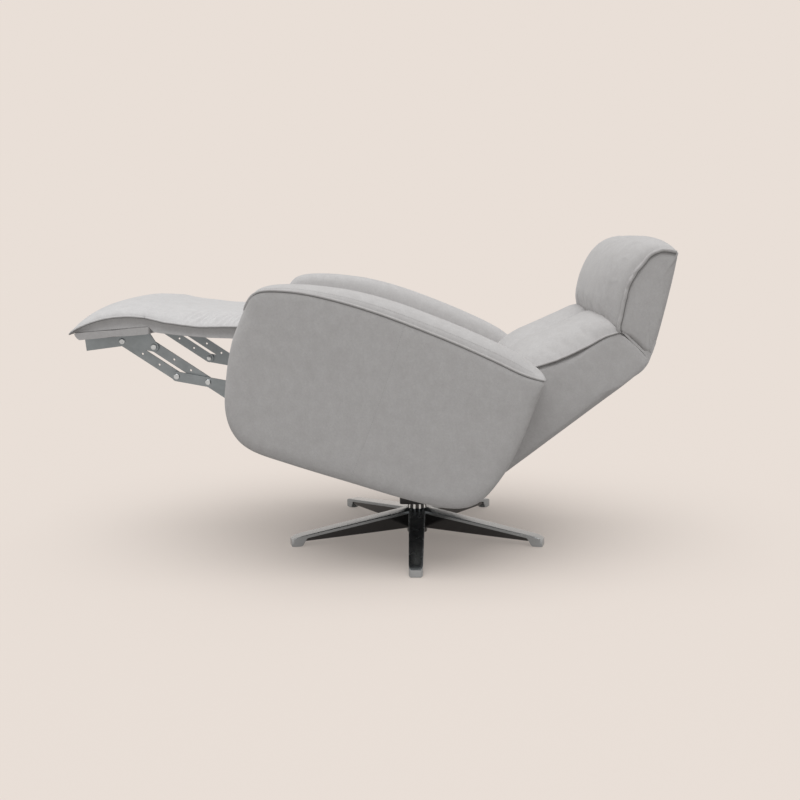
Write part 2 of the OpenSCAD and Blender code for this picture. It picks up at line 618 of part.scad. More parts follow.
// Back: a padded cover over side bars, with a two-channel cushion in front
back_bar_t = 5;
back_bar_w = 30;
back_bar_x = plate_x + bar_t + bar_gap;
foot_arc = [9:18:81];
back_low_front = [for (a = foot_arc) toward([0, 0], -90 - a, back_foot_r)];
back_low_rear = [for (a = foot_arc) toward([0, 0], -90 + a, back_foot_r)];
back_front = [
    [-back_foot_r * 0.92, back_len * 0.08], [-0.8 * back_foot_r, back_len * 0.26], [-60, back_len * 0.484],
    [-38, back_len * 0.62], [-21, back_len * 0.788], [-14, back_len * 0.9], [0, back_len - 19]
];
back_rear = [
    [back_foot_r, back_len * 0.12], [back_foot_r, back_len * 0.3], [back_foot_r, back_len * 0.5],
    [back_foot_r, back_len * 0.68], [back_foot_r, back_len - 80], [back_foot_r - 5, back_len - 24],
    [neck_y + 2, back_len - 3]
];
back_rise = concat(back_low_rear, back_rear);
back_n = len(back_rise);
back_outline = concat(back_low_front, back_front, [for (i = [back_n - 1:-1:0]) back_rise[i]]);
slot_r = back_foot_r + 2;
module frame_slots() both_sides() {
    pin_x([0, 0], plate_x - head_t - 1, back_bar_x + back_bar_t + 1, 2 * slot_r);
    at_x(back_bar_x - 1, back_bar_t + head_bar_t + 4) bar2d([0, 0], [neck_y, back_len], back_bar_w + 2);
}
tube_d = 22;
head_tube_d = 16;
snug = 0.25;
tube_shares = [0.34, 0.8];
module back_cover() color([0.7, 0.69, 0.69]) in_back() difference() {
    padded(back_outline, [for (p = back_outline) 0], [for (p = back_outline) 10], soft_half,
        rounded_stations(soft_half, 10));
    frame_slots();
    for (s = tube_shares)
        pin_x([neck_y, back_len] * s, -back_bar_x - cut, back_bar_x + cut, tube_d + 2 * soft_gap);
    pin_x([neck_y, back_len], -soft_half - cut, soft_half + cut, 2 * neck_r);
}
module back_bar() at_x(back_bar_x, back_bar_t) difference() {
    bar2d([0, 0], [neck_y, back_len] * 0.94, back_bar_w);
    circle(d = back_pin_d + 2 * run_gap);
}
module back_eye() at_x(back_bar_x, back_bar_t) difference() {
    bar2d([neck_y, back_len] * 0.94, [neck_y, back_len], 2 * neck_r - 1);
    translate([neck_y, back_len]) circle(d = head_rod_d);
}
module back_bar_left() color([0.3, 0.31, 0.31]) in_back() {
    back_bar();
    back_eye();
}
module back_bar_right() color([0.3, 0.31, 0.31]) in_back() mirror([1, 0, 0]) {
    back_bar();
    back_eye();
}
module back_cross_tubes() color([0.3, 0.31, 0.31]) in_back() for (s = tube_shares) difference() {
    pin_x([neck_y, back_len] * s, -back_bar_x, back_bar_x, tube_d);
    pin_x([neck_y, back_len] * s, -back_bar_x - cut, back_bar_x + cut, tube_d - 4);
}
head_bar_t = 4;
head_bar_x = back_bar_x + back_bar_t + bar_gap;
module headrest_rod() color([0.6, 0.61, 0.62]) in_back()
    pin_x([neck_y, back_len], -head_bar_x - head_bar_t - 4, head_bar_x + head_bar_t + 4, head_rod_d);

// The front cushion lies on the cover's front face from above the seat to the neck
cushion_shares = [0.3, 0.38, 0.484, 0.62, 0.788, 0.88, 0.925];
cushion_path = [for (s = cushion_shares) [front_at(s * back_len), s * back_len]];
function front_at(z) = lookup(z, [for (p = back_front) [p[1], p[0]]]);
band = 4;
cushion_off = 1.75;
cushion_smooth = smooth_open(cushion_path, 2);
module back_cushion() color([0.76, 0.75, 0.75]) in_back() puffed(
    offset_path(cushion_smooth, cushion_off + band), offset_path(cushion_smooth, cushion_off), back_crown,
    [[0, 0], [0.1, 0.5], [0.2, 0.75], [0.35, 0.95], [0.5, 1], [0.75, 0.84], [0.9, 0.66], [1, 0.42]],
    soft_half - 2, channel_stations(back_groove_share)
);

// Headrest: a cover with a cushion that runs up its front and over its top
head_shares = [
    [-0.302, 0.19], [-0.317, 0.282], [-0.333, 0.47], [-0.333, 0.62], [-0.286, 0.766], [-0.226, 0.905],
    [-0.151, 0.98], [-0.04, 1.0]
];
head_front = [for (s = head_shares) s * head_len];
head_rear_shares = [[0.012, 1.0], [0.032, 0.85], [0.048, 0.5], [0.048, 0.12], [0.02, 0.01]];
head_outline = concat(head_front, [for (s = head_rear_shares) s * head_len], [[-0.15, 0.1] * head_len]);
module headrest_cover() color([0.7, 0.69, 0.69]) in_headrest() difference() {
    padded(head_outline, [for (p = head_outline) 0], [for (p = head_outline) 6], soft_half,
        rounded_stations(soft_half, 6));
    pin_x([0, 0], -soft_half - cut, soft_half + cut, 2 * neck_r);
    both_sides() at_x(head_bar_x - bar_gap - back_bar_t - 1, back_bar_t + head_bar_t + 4)
        bar2d([0, 0], [-0.13, 0.8] * head_len, back_bar_w - 2);
    pin_x([-0.13, 0.8] * head_len, -head_bar_x - cut, head_bar_x + cut, head_tube_d + 2 * snug);
}
module headrest_bar() at_x(head_bar_x, head_bar_t) difference() {
    bar2d([0, 0], [-0.13, 0.8] * head_len, 2 * neck_r - 1);
    circle(d = head_rod_d + 2 * run_gap);
}
module headrest_bar_left() color([0.3, 0.31, 0.31]) in_headrest() headrest_bar();
module headrest_bar_right() color([0.3, 0.31, 0.31]) in_headrest() mirror([1, 0, 0]) headrest_bar();
module headrest_cross_tube() color([0.3, 0.31, 0.31]) in_headrest()
    pin_x([-0.13, 0.8] * head_len, -head_bar_x, head_bar_x, head_tube_d);
head_path = smooth_open(head_front, 2);
module headrest_cushion() color([0.76, 0.75, 0.75]) in_headrest() puffed(
    offset_path(head_path, soft_gap + band), offset_path(head_path, soft_gap), head_crown,
    [[0, 0], [0.07, 0.2], [0.14, 0.65], [0.28, 1], [0.78, 1], [0.9, 0.86], [1, 0.4]],
    soft_half, full_stations
);

// Footrest links, layered outward from the middle: control, upper and front, rear
module link2d(p, q, at) difference() {
    bar2d(p, q, bar_w);
    holes2d(at, rivet_d + 2 * run_gap);
}
module rear_link() at_x(outer_x, bar_t)
    link2d(link_pivot, outer_rivet, [link_pivot, inner_rivet, outer_rivet]);
module upper_link() at_x(middle_x, bar_t) difference() {
    link2d(lug_rivet, tail_rivet, [lug_rivet, inner_rivet, tail_rivet]);
    holes2d([for (s = hole_shares) lug_rivet + s * (inner_rivet - lug_rivet)], link_hole_d);
}
module front_link() at_x(middle_x, bar_t) difference() {
    link2d(front_rivet, outer_rivet, [front_rivet, outer_rivet]);
    holes2d([for (s = hole_shares) front_rivet + s * (outer_rivet - front_rivet)], link_hole_d);
}
hole_shares = [0.365, 0.673];
module control_link() at_x(inner_x, bar_t) link2d(control_pivot, tail_rivet, [control_pivot, tail_rivet]);
steel = [0.55, 0.57, 0.55];
module rear_link_left() color(steel) in_seat() rear_link();
module rear_link_right() color(steel) in_seat() mirror([1, 0, 0]) rear_link();
module upper_link_left() color(steel) in_seat() upper_link();
module upper_link_right() color(steel) in_seat() mirror([1, 0, 0]) upper_link();
module front_link_left() color(steel) in_seat() front_link();
module front_link_right() color(steel) in_seat() mirror([1, 0, 0]) front_link();
module control_link_left() color(steel) in_seat() control_link();
module control_link_right() color(steel) in_seat() mirror([1, 0, 0]) control_link();
cross_tube_d = 19;
cross_tube_share = 0.68;
cross_tube_at = inner_rivet + (link_pivot - inner_rivet) * cross_tube_share;
module link_cross_tube() color(steel) in_seat() difference() {
    pin_x(cross_tube_at, -outer_x, outer_x, cross_tube_d);
    pin_x(cross_tube_at, -outer_x - cut, outer_x + cut, cross_tube_d - bar_t);
}
module rivet(p, x0, x1) {
    pin_x(p, x0, x1, rivet_d);
    pin_x(p, x1, x1 + head_t, head_d);
    pin_x(p, x0 - head_t, x0, head_d);
}
module rear_link_rivets() color([0.7, 0.71, 0.7]) in_seat() both_sides()
    for (p = [inner_rivet, outer_rivet]) rivet(p, middle_x - run_gap, outer_x + bar_t + run_gap);
module control_link_rivets() color([0.7, 0.71, 0.7]) in_seat() both_sides() {
    pin_x(tail_rivet, inner_x, inner_x + bar_t + bar_gap / 2, rivet_d);
    pin_x(tail_rivet, inner_x - head_t, inner_x, head_d);
}

// Footrest: angle brackets, board and cushion, drawn from the front rivet
lug_place = turned(lug_rivet - front_rivet, -seat_tilt - foot_pitch);
bracket_front = foot_board_ahead - 2;
module footrest_bracket() {
    at_x(outer_x, bar_t) difference() {
        union() {
            polygon([
                [-bracket_front, foot_board_up], [-bracket_front, foot_board_up - 34], [0, -bar_w / 2],
                [lug_place[0], foot_board_up]
            ]);
            circle(d = bar_w);
            translate(lug_place) circle(d = bar_w);
            polygon([
                [0, foot_board_up], [0, -bar_w / 2], lug_place - [0, bar_w / 2], lug_place + [bar_w / 2, 0],
                [lug_place[0] - bar_w * 0.3, foot_board_up]
            ]);
        }
        circle(d = rivet_d + 2 * run_gap);
        translate(lug_place) circle(d = rivet_d + 2 * run_gap);
    }
    translate([outer_x - bar_w, -bracket_front, foot_board_up - 3]) difference() {
        cube([bar_w, bracket_front - bar_w, 3]);
        for (s = screw_shares) translate([bar_w * 0.45, (bracket_front - bar_w) * s, -cut])
            cylinder(d = screw_d + 2 * run_gap, h = 3 + 2 * cut);
    }
}
screw_shares = [0.2, 0.8];
screw_d = 5;
module footrest_bracket_left() color([0.35, 0.36, 0.36]) in_footrest() footrest_bracket();
module footrest_bracket_right() color([0.35, 0.36, 0.36]) in_footrest() mirror([1, 0, 0]) footrest_bracket();
module bracket_rivets() color([0.7, 0.71, 0.7]) in_footrest() both_sides()
    for (p = [[0, 0], lug_place]) rivet(p, middle_x - run_gap, outer_x + bar_t + run_gap);
module board_screws() color([0.5, 0.5, 0.5]) in_footrest() both_sides() for (s = screw_shares)
    translate([outer_x - bar_w * 0.55, -bracket_front + (bracket_front - bar_w) * s, foot_board_up - 3]) {
        cylinder(d = screw_d, h = foot_board_t * 0.8);
        translate([0, 0, -2]) cylinder(d = 2 * screw_d, h = 2);
    }
board_half = soft_half - 14;
module footrest_board() color([0.6, 0.59, 0.59]) in_footrest() difference() {
    at_x(-board_half, 2 * board_half) polygon([
        [-foot_board_ahead, foot_board_up + foot_board_t * 0.5], [-foot_board_ahead + 5, foot_board_up],
        [foot_board_len - foot_board_ahead, foot_board_up],
        [foot_board_len - foot_board_ahead, foot_board_up + foot_board_t],
        [-foot_board_ahead, foot_board_up + foot_board_t]
    ]);
    both_sides() for (s = screw_shares)
        translate([outer_x - bar_w * 0.55, -bracket_front + (bracket_front - bar_w) * s, foot_board_up - cut])
            cylinder(d = screw_d + 2 * run_gap, h = foot_board_t * 0.8);
}
foot_low = [for (p = foot_top) [p[0] + (p == last(foot_top) ? 10 : 0), pad_floor]];
module footrest_cushion() color([0.84, 0.83, 0.83]) in_footrest() puffed(
    foot_top, foot_low, foot_crown, [[0, 0], [0.12, 0.5], [0.25, 0.75], [0.4, 0.92], [0.55, 1], [1, 1]],
    soft_half - 12, full_stations
);

star_base();
foot_glides();
hub_bush();
spindle_clip();
spindle();
thrust_washer();
swivel_housing();
tilt_bracket();
tilt_bushes();
tilt_shaft();
mechanism_plate_left();
mechanism_plate_right();
front_rail();
rear_rail();
seat_webbing();
seat_cushion();
arm_left();
arm_right();
arm_board_left();
arm_board_right();
arm_bolts();
footrest_pivot_pins();
control_pivot_pins();
back_pivot_pins();
calf_pad();
back_cover();
back_cushion();
back_bar_left();
back_bar_right();
back_cross_tubes();
headrest_rod();
headrest_cover();
headrest_cushion();
headrest_bar_left();
headrest_bar_right();
headrest_cross_tube();
rear_link_left();
rear_link_right();
link_cross_tube();
rear_link_rivets();
upper_link_left();
upper_link_right();
front_link_left();
front_link_right();
control_link_left();
control_link_right();
control_link_rivets();
footrest_bracket_left();
footrest_bracket_right();
footrest_board();
footrest_cushion();
bracket_rivets();
board_screws();
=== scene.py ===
from collections import namedtuple
import math
import bmesh
import bpy
import numpy as np
from mathutils import Matrix, Vector, noise
from mathutils.bvhtree import BVHTree

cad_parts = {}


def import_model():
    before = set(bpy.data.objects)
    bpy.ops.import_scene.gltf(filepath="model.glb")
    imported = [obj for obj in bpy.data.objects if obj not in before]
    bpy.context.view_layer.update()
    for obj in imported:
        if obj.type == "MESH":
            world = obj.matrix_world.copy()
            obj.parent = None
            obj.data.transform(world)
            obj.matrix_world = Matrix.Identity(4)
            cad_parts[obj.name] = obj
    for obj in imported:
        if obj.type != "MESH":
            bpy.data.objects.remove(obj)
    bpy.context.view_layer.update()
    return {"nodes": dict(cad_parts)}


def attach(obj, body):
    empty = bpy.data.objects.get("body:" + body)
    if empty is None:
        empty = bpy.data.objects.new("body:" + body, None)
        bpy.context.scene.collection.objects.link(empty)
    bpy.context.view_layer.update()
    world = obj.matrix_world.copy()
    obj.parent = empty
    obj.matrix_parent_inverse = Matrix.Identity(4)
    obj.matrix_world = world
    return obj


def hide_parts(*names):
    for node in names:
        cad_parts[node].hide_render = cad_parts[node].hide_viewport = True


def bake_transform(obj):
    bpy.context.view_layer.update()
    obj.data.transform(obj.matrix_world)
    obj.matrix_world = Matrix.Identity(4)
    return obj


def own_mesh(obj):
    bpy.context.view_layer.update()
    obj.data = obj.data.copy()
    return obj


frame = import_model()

scene = bpy.context.scene
scene.view_settings.view_transform = "Standard"

# Sizes in millimetres and angles in degrees, as in the part's source
CHAIR_W, ARM_W = 770.0, 115.0
ARM_FRONT, ARM_FLOOR_GAP, ARM_LEN, ARM_H = -531.0, 191.5, 724.0, 411.0
SETBACK, TILT_AXIS_Z, SEAT_TILT = 115.0, 180.0, 18.0
BACK_PIVOT, BACK_LEAN, BACK_LEN, BACK_FOOT_R = (100.5, 362.0), 34.5, 457.0, 110.0
NECK_Y, HEAD_TURN, HEAD_LEN = 84.6, 39.3, 252.0
LINK_PIVOT, REAR_LEN, REAR_DROOP = (-466.2, 300.8), 125.0, 7.4
LINK_PAIR, LINK_LEN, FRONT_RISE, FOOT_LEAN = 81.4, 163.0, 16.0, 22.5
RIVET_STACK = (181.6, 191.4)

# Half widths of what lies between the arms
BETWEEN = CHAIR_W / 2 - ARM_W
LEG_REST_HALF = BETWEEN - 15
SEAT_HALF = BETWEEN - 8
BACK_HALF = BETWEEN - 7
HEAD_HALF = BETWEEN - 6
BACK_PAD_HALF = BETWEEN - 5


# Places
def about_x(deg):
    c, s = math.cos(math.radians(deg)), math.sin(math.radians(deg))
    return np.array([[1, 0, 0, 0], [0, c, -s, 0], [0, s, c, 0], [0, 0, 0, 1.0]])


def moved(y, z):
    m = np.eye(4)
    m[1:3, 3] = y, z
    return m


def toward_front(p, distance, rise):
    """The point at a distance in front of p, at an angle above the level."""
    a = math.radians(rise)
    return p[0] - distance * math.cos(a), p[1] + distance * math.sin(a)


def shown_in(place, p):
    """A (y, z) point carried by a 4 x 4 place."""
    return tuple((place @ np.array([0, *p, 1.0]))[1:3])


UPPER_RIVET = toward_front(LINK_PIVOT, REAR_LEN, -REAR_DROOP)
FRONT_RIVET = toward_front(UPPER_RIVET, LINK_PAIR, -REAR_DROOP)
LUG_RIVET = toward_front(UPPER_RIVET, LINK_LEN, FRONT_RISE)
FOOT_PIVOT = tuple(np.round(toward_front(FRONT_RIVET, LINK_LEN, FRONT_RISE), 3))
FOOT_IN_SEAT = moved(*FOOT_PIVOT) @ about_x(FOOT_LEAN)

SEAT = moved(SETBACK, TILT_AXIS_Z) @ about_x(-SEAT_TILT) @ moved(0, -TILT_AXIS_Z)
BACK = SEAT @ moved(*BACK_PIVOT) @ about_x(-BACK_LEAN)
HEAD = BACK @ moved(NECK_Y, BACK_LEN) @ about_x(HEAD_TURN)
FOOT = SEAT @ FOOT_IN_SEAT


def world(p, m):
    """Points in a place's own millimetres, as world metres."""
    p = np.asarray(p, float)
    return (p @ m[:3, :3].T + m[:3, 3]) / 1000


# Curves
def spline(points, per, closed=False, corners=()):
    """A smooth line through points, with no rounding at the points that corners names."""
    p = np.array(points, float)
    n = len(p)
    slope = np.zeros_like(p)
    for i in range(n):
        if i in corners:
            continue
        a, b = (i - 1) % n, (i + 1) % n
        if not closed:
            a, b = max(i - 1, 0), min(i + 1, n - 1)
        slope[i] = (p[b] - p[a]) / (2 if closed or 0 < i < n - 1 else 1)
    out = []
    for i in range(n if closed else n - 1):
        j = (i + 1) % n
        for t in np.arange(per) / per:
            h = (2 * t**3 - 3 * t**2 + 1, t**3 - 2 * t**2 + t, -2 * t**3 + 3 * t**2, t**3 - t**2)
            out.append(h[0] * p[i] + h[1] * slope[i] + h[2] * p[j] + h[3] * slope[j])
    if not closed:
        out.append(p[-1])
    return np.array(out)


def travelled(p):
    """The length of a path up to each of its points."""
    return np.r_[0, np.cumsum(np.linalg.norm(np.diff(p, axis=0), axis=1))]


def points_at(s, d, p):
    return np.stack([np.interp(s, d, p[:, k]) for k in range(p.shape[1])], 1)


def resample(path, count, closed=False):
    p = np.asarray(path, float)
    if closed:
        p = np.vstack([p, p[:1]])
    d = travelled(p)
    s = np.linspace(0, d[-1], count + 1)[:-1] if closed else np.linspace(0, d[-1], count)
    return points_at(s, d, p)


def normals(p, closed=False):
    t = np.roll(p, -1, 0) - np.roll(p, 1, 0) if closed else np.gradient(p, axis=0)
    t /= np.maximum(np.linalg.norm(t, axis=1), 1e-9)[:, None]
    return np.stack([-t[:, 1], t[:, 0]], 1)


def ramp(x, table):
    """A height read off a table of (share of the way, height)."""
    t = np.array(table, float)
    return np.interp(x, t[:, 0], t[:, 1])


def soft(x):
    """Eases from 0 to 1."""
    x = np.clip(x, 0, 1)
    return x * x * (3 - 2 * x)


def smoothed(p, times):
    p = np.array(p, float)
    for _ in range(times):
        p[1:-1] = (p[:-2] + 2 * p[1:-1] + p[2:]) / 4
    return p


def wave(p, size, seed=0.0):
    return noise.noise(Vector((p[0] / size + seed, p[1] / size, p[2] / size)))


def bulging(roundness, power):
    """A section that is 1 in the middle and falls to 0 at both edges, where u is -1 and 1."""
    return lambda u: max(0.0, 1 - abs(u) ** roundness) ** power


ARM_SECTION, LEG_REST_SECTION, HEAD_SECTION = bulging(2.6, 0.6), bulging(3.2, 0.55), bulging(4.2, 0.52)
BACK_SECTION, BACK_TOP_SECTION = bulging(4.2, 0.55), bulging(7, 0.6)


# Meshes
def make(name, verts, faces, material, body, sharp=None):
    """A smooth piece that is to ride on a body. sharp is the angle from which its edges stay crisp."""
    mesh = bpy.data.meshes.new(name)
    mesh.from_pydata([tuple(v) for v in verts], [], [tuple(f) for f in faces])
    mesh.validate()
    mesh.update()
    bm = bmesh.new()
    bm.from_mesh(mesh)
    bmesh.ops.recalc_face_normals(bm, faces=bm.faces)
    bm.to_mesh(mesh)
    bm.free()
    mesh.polygons.foreach_set("use_smooth", [True] * len(mesh.polygons))
    if sharp:
        mesh.set_sharp_from_angle(angle=math.radians(sharp))
    o = bpy.data.objects.new(name, mesh)
    scene.collection.objects.link(o)
    mesh.materials.append(material)
    o["body"] = body
    return o


def settle(o, nodes=()):
    """Hands a piece over to its body, and hides the nodes that it replaces."""
    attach(o, o["body"])
    if nodes:
        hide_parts(*nodes)


def band(a, b, k):
    """Faces between two closed loops of k points that start at a and b."""
    return [(a + j, a + (j + 1) % k, b + (j + 1) % k, b + j) for j in range(k)]


def loft(rows, rings=()):
    """A skin over rows of closed loops. Each end is one flat face, or rings shrink it towards its middle."""
    r = np.asarray(rows, float)
    n, k = r.shape[:2]
    verts = list(r.reshape(-1, 3))
    faces = [face for i in range(n - 1) for face in band(i * k, (i + 1) * k, k)]
    for end in (0, n - 1):
        prev = end * k
        if not rings:
            faces.append(tuple(range(prev, prev + k)))
            continue
        mid = r[end].mean(0)
        for s in rings:
            start = len(verts)
            verts += [mid + (v - mid) * s for v in r[end]]
            faces += band(prev, start, k)
            prev = start
        verts.append(mid)
        faces += [(prev + j, prev + (j + 1) % k, len(verts) - 1) for j in range(k)]
    return np.array(verts), faces


def tube(path, radius, sides, taper=0):
    """A round cord along a path of points. taper is the number of points in which its ends thin out."""
    p = np.asarray(path, float)
    n = len(p)
    t = np.gradient(p, axis=0)
    t /= np.linalg.norm(t, axis=1)[:, None]
    up = np.cross(t[0], [0.3, 0.2, 0.9])
    rows = []
    for i in range(n):
        up = up - t[i] * up.dot(t[i])
        up /= np.linalg.norm(up)
        side = np.cross(t[i], up)
        rad = radius * min(1, 0.15 + min(i, n - 1 - i) / taper) if taper else radius
        turns = [2 * math.pi * j / sides for j in range(sides)]
        rows.append([p[i] + rad * (up * math.cos(a) + side * math.sin(a)) for a in turns])
    return loft(rows)


def turned(profile, sides, bored=False):
    """A profile of (radius, height) turned about Z. A bored one is closed back to its first point."""
    k = len(profile)
    verts, faces = [], []
    for i in range(sides):
        a = 2 * math.pi * i / sides
        verts += [(r * math.cos(a), r * math.sin(a), z) for r, z in profile]
    for i in range(sides):
        a, b = i * k, ((i + 1) % sides) * k
        faces += [(a + j, b + j, b + j + 1, a + j + 1) for j in range(k - 1)]
        if bored:
            faces.append((a + k - 1, a, b, b + k - 1))
    return np.array(verts), faces


def joined(*parts):
    verts, faces = [], []
    for v, f in parts:
        start = len(verts)
        verts += list(v)
        faces += [tuple(i + start for i in face) for face in f]
    return np.array(verts), faces


def stitches(path, size, gap, radius):
    """Short raised stitches along a path."""
    p = np.asarray(path, float)
    d = travelled(p)
    parts = []
    s = 0.0
    while s + size < d[-1]:
        parts.append(tube(points_at([s, s + size / 2, s + size], d, p), radius, 5, taper=0.9))
        s += size + gap
    return joined(*parts)


# Materials
def nodes_of(name):
    m = bpy.data.materials.new(name)
    m.use_nodes = True
    t = m.node_tree
    t.nodes.clear()
    out = t.nodes.new("ShaderNodeOutputMaterial")
    b = t.nodes.new("ShaderNodeBsdfPrincipled")
    t.links.new(b.outputs[0], out.inputs[0])
    c = t.nodes.new("ShaderNodeTexCoord")
    return m, t, b, c.outputs["Object"]


def noise_node(t, at, scale, detail=3.0, rough=0.5, stretch=None):
    if stretch:
        mapping = t.nodes.new("ShaderNodeMapping")
        mapping.inputs["Scale"].default_value = stretch
        t.links.new(at, mapping.inputs[0])
        at = mapping.outputs[0]
    n = t.nodes.new("ShaderNodeTexNoise")
    n.inputs["Scale"].default_value = scale
    n.inputs["Detail"].default_value = detail
    n.inputs["Roughness"].default_value = rough
    t.links.new(at, n.inputs["Vector"])
    return n.outputs["Fac"]


def fit(t, value, lo, hi, a=0.0, b=1.0):
    """Maps a value's range from lo to hi onto a to b, and holds it there."""
    n = t.nodes.new("ShaderNodeMapRange")
    t.links.new(value, n.inputs["Value"])
    for name, number in (("From Min", lo), ("From Max", hi), ("To Min", a), ("To Max", b)):
        n.inputs[name].default_value = number
    return n.outputs[0]


def math_node(t, operation, a, b):
    n = t.nodes.new("ShaderNodeMath")
    n.operation = operation
    t.links.new(a, n.inputs[0])
    t.links.new(b, n.inputs[1])
    return n.outputs[0]


def blend_colours(t, fac, a, b):
    n = t.nodes.new("ShaderNodeMix")
    n.data_type = "RGBA"
    t.links.new(fac, n.inputs[0])
    for v, s in ((a, n.inputs[6]), (b, n.inputs[7])):
        if hasattr(v, "links"):
            t.links.new(v, s)
        else:
            s.default_value = (*v, 1)
    return n.outputs[2]


def bump(t, height, strength, distance, under=None):
    n = t.nodes.new("ShaderNodeBump")
    n.inputs["Strength"].default_value = strength
    n.inputs["Distance"].default_value = distance
    t.links.new(height, n.inputs["Height"])
    if under:
        t.links.new(under, n.inputs["Normal"])
    return n.outputs[0]


def scaled(colour, by):
    return tuple(min(1, v * by) for v in colour)


def fabric(name, light, dark, nap=1.0):
    """Brushed fabric: broad patches, a nap with fine fibres, and small dark specks."""
    m, t, b, at = nodes_of(name)
    patch = fit(t, noise_node(t, at, 42, 7, 0.7), 0.34, 0.66)
    pile = fit(t, noise_node(t, at, 190, 4, 0.65), 0.36, 0.64)
    fibre = noise_node(t, at, 1000, 3, 0.6)
    speck = fit(t, noise_node(t, at, 560, 2, 0.5), 0.60, 0.72)
    c = blend_colours(t, patch, dark, light)
    c = blend_colours(t, fit(t, pile, 0, 1, 0.0, 0.35), c, scaled(dark, 0.86))
    c = blend_colours(t, fit(t, fibre, 0.3, 0.7, 0.0, 0.22 * nap), c, scaled(light, 1.14))
    c = blend_colours(t, fit(t, speck, 0, 1, 0.0, 0.3 * nap), c, scaled(dark, 0.66))
    t.links.new(c, b.inputs["Base Color"])
    t.links.new(fit(t, pile, 0, 1, 0.86, 0.97), b.inputs["Roughness"])
    creases = bump(t, noise_node(t, at, 140, 5, 0.65), 0.28, 0.0012)
    t.links.new(bump(t, fibre, 0.45, 0.0005, creases), b.inputs["Normal"])
    b.inputs["Specular IOR Level"].default_value = 0.22
    b.inputs["Sheen Weight"].default_value = 0.32
    b.inputs["Sheen Roughness"].default_value = 0.42
    b.inputs["Sheen Tint"].default_value = (0.93, 0.93, 0.92, 1)
    return m


def hard(name, colour, rough, metal=0.0, vary=0.12, scale=30, grain=None, coat=0.0, spec=0.5, wear=None):
    """Metal or plastic: uneven colour and roughness, fine grain, and wear where wear gives a colour."""
    m, t, b, at = nodes_of(name)
    broad = noise_node(t, at, scale, 5, 0.6)
    fine = noise_node(t, at, 900, 2, 0.5, grain)
    c = blend_colours(t, fit(t, broad, 0.3, 0.7), scaled(colour, 1 - vary), scaled(colour, 1 + vary))
    if wear:
        mark = fit(t, noise_node(t, at, 260, 6, 0.7), 0.64, 0.72)
        c = blend_colours(t, fit(t, mark, 0, 1, 0, 0.5), c, wear)
    t.links.new(c, b.inputs["Base Color"])
    t.links.new(fit(t, broad, 0.3, 0.7, rough * 0.85, min(1, rough * 1.2)), b.inputs["Roughness"])
    t.links.new(bump(t, fine, 0.12, 0.0002), b.inputs["Normal"])
    b.inputs["Metallic"].default_value = metal
    b.inputs["Specular IOR Level"].default_value = spec
    b.inputs["Coat Weight"].default_value = coat
    b.inputs["Coat Roughness"].default_value = 0.08
    return m


def woven(name, colour, pitch=0.0025):
    """Two sets of threads that cross, a pitch in metres apart."""
    m, t, b, at = nodes_of(name)
    waves = []
    for axis in ("X", "Y"):
        w = t.nodes.new("ShaderNodeTexWave")
        w.bands_direction = axis
        w.inputs["Scale"].default_value = 2 / (pitch * 6.283)
        w.inputs["Distortion"].default_value = 0.4
        t.links.new(at, w.inputs["Vector"])
        waves.append(w.outputs["Fac"])
    threads = math_node(t, "MULTIPLY", *waves)
    t.links.new(blend_colours(t, threads, scaled(colour, 0.55), colour), b.inputs["Base Color"])
    t.links.new(fit(t, threads, 0, 1, 0.95, 0.8), b.inputs["Roughness"])
    t.links.new(bump(t, threads, 0.5, 0.0006), b.inputs["Normal"])
    return m


FABRIC = fabric("cover_fabric", (0.594, 0.582, 0.577), (0.532, 0.517, 0.512))
# The leg rest's fabric is a lighter copy of the cover fabric: painted light for the extra light on its top
LIT_LEG_FABRIC = fabric("leg_rest_painted_light_fabric", (0.675, 0.665, 0.662), (0.605, 0.592, 0.590))
WELT = fabric("welt_fabric", (0.58, 0.567, 0.561), (0.52, 0.504, 0.498), 0.8)
# Stitches darker than the cover: partly the thread's own colour, partly painted shade of the stitched groove
THREAD_AND_SHADE = hard("seam_thread_and_shade", (0.44, 0.43, 0.425), 0.8, vary=0.06, spec=0.2)
# Painted shade: dark cords laid along the piping and in the back's channel stand in for the shade in those
# creases
SHADOW = hard("seam_fold", (0.25, 0.243, 0.24), 0.95, vary=0.1, spec=0.05)
LINK = hard("link_steel", (0.29, 0.33, 0.355), 0.38, 0.9, 0.14, 30, wear=(0.16, 0.17, 0.18))
DARK = hard("dark_steel", (0.045, 0.045, 0.047), 0.5, 0.3, 0.2, 40, wear=(0.12, 0.12, 0.12))
ZINC = hard("zinc_steel", (0.56, 0.56, 0.54), 0.34, 0.9, 0.14, 60)
RIVET = hard("rivet_steel", (0.62, 0.67, 0.70), 0.25, 0.95, 0.1, 60)
SATIN = hard("satin_aluminium", (0.41, 0.445, 0.47), 0.24, 0.97, 0.04, 25)
# Bright metal on the hub's lands, placed to stand for streaks of reflection: painted reflection
PAINTED_GLINT_METAL = hard("hub_painted_glint", (0.84, 0.87, 0.88), 0.25, 0.6, 0.03, 25)
# Gloss black: paint on the legs' blades and undersides and the hub's foot, and painted shade in the hub's
# flutes and grooves
BLACK_METAL_AND_SHADE = hard("gloss_black_and_painted_shade", (0.012, 0.012, 0.013), 0.16, 0.0, 0.2, 25, coat=0.6)
BLACK = hard("black_plastic", (0.022, 0.022, 0.024), 0.42, 0, 0.2, 50)
GREY = hard("grey_plastic", (0.30, 0.31, 0.31), 0.45, 0, 0.1, 50)
BEARING = hard("bearing_plastic", (0.72, 0.71, 0.67), 0.5, 0, 0.06, 50)
WEB = woven("webbing", (0.035, 0.035, 0.037))
LINING = woven("black_lining", (0.03, 0.03, 0.031), 0.0015)
PLY = hard("plywood", (0.50, 0.36, 0.22), 0.7, 0, 0.25, 14, grain=(1, 0.08, 1))

# Cloth
CLOTHS = []
LAST_FRAME = 20


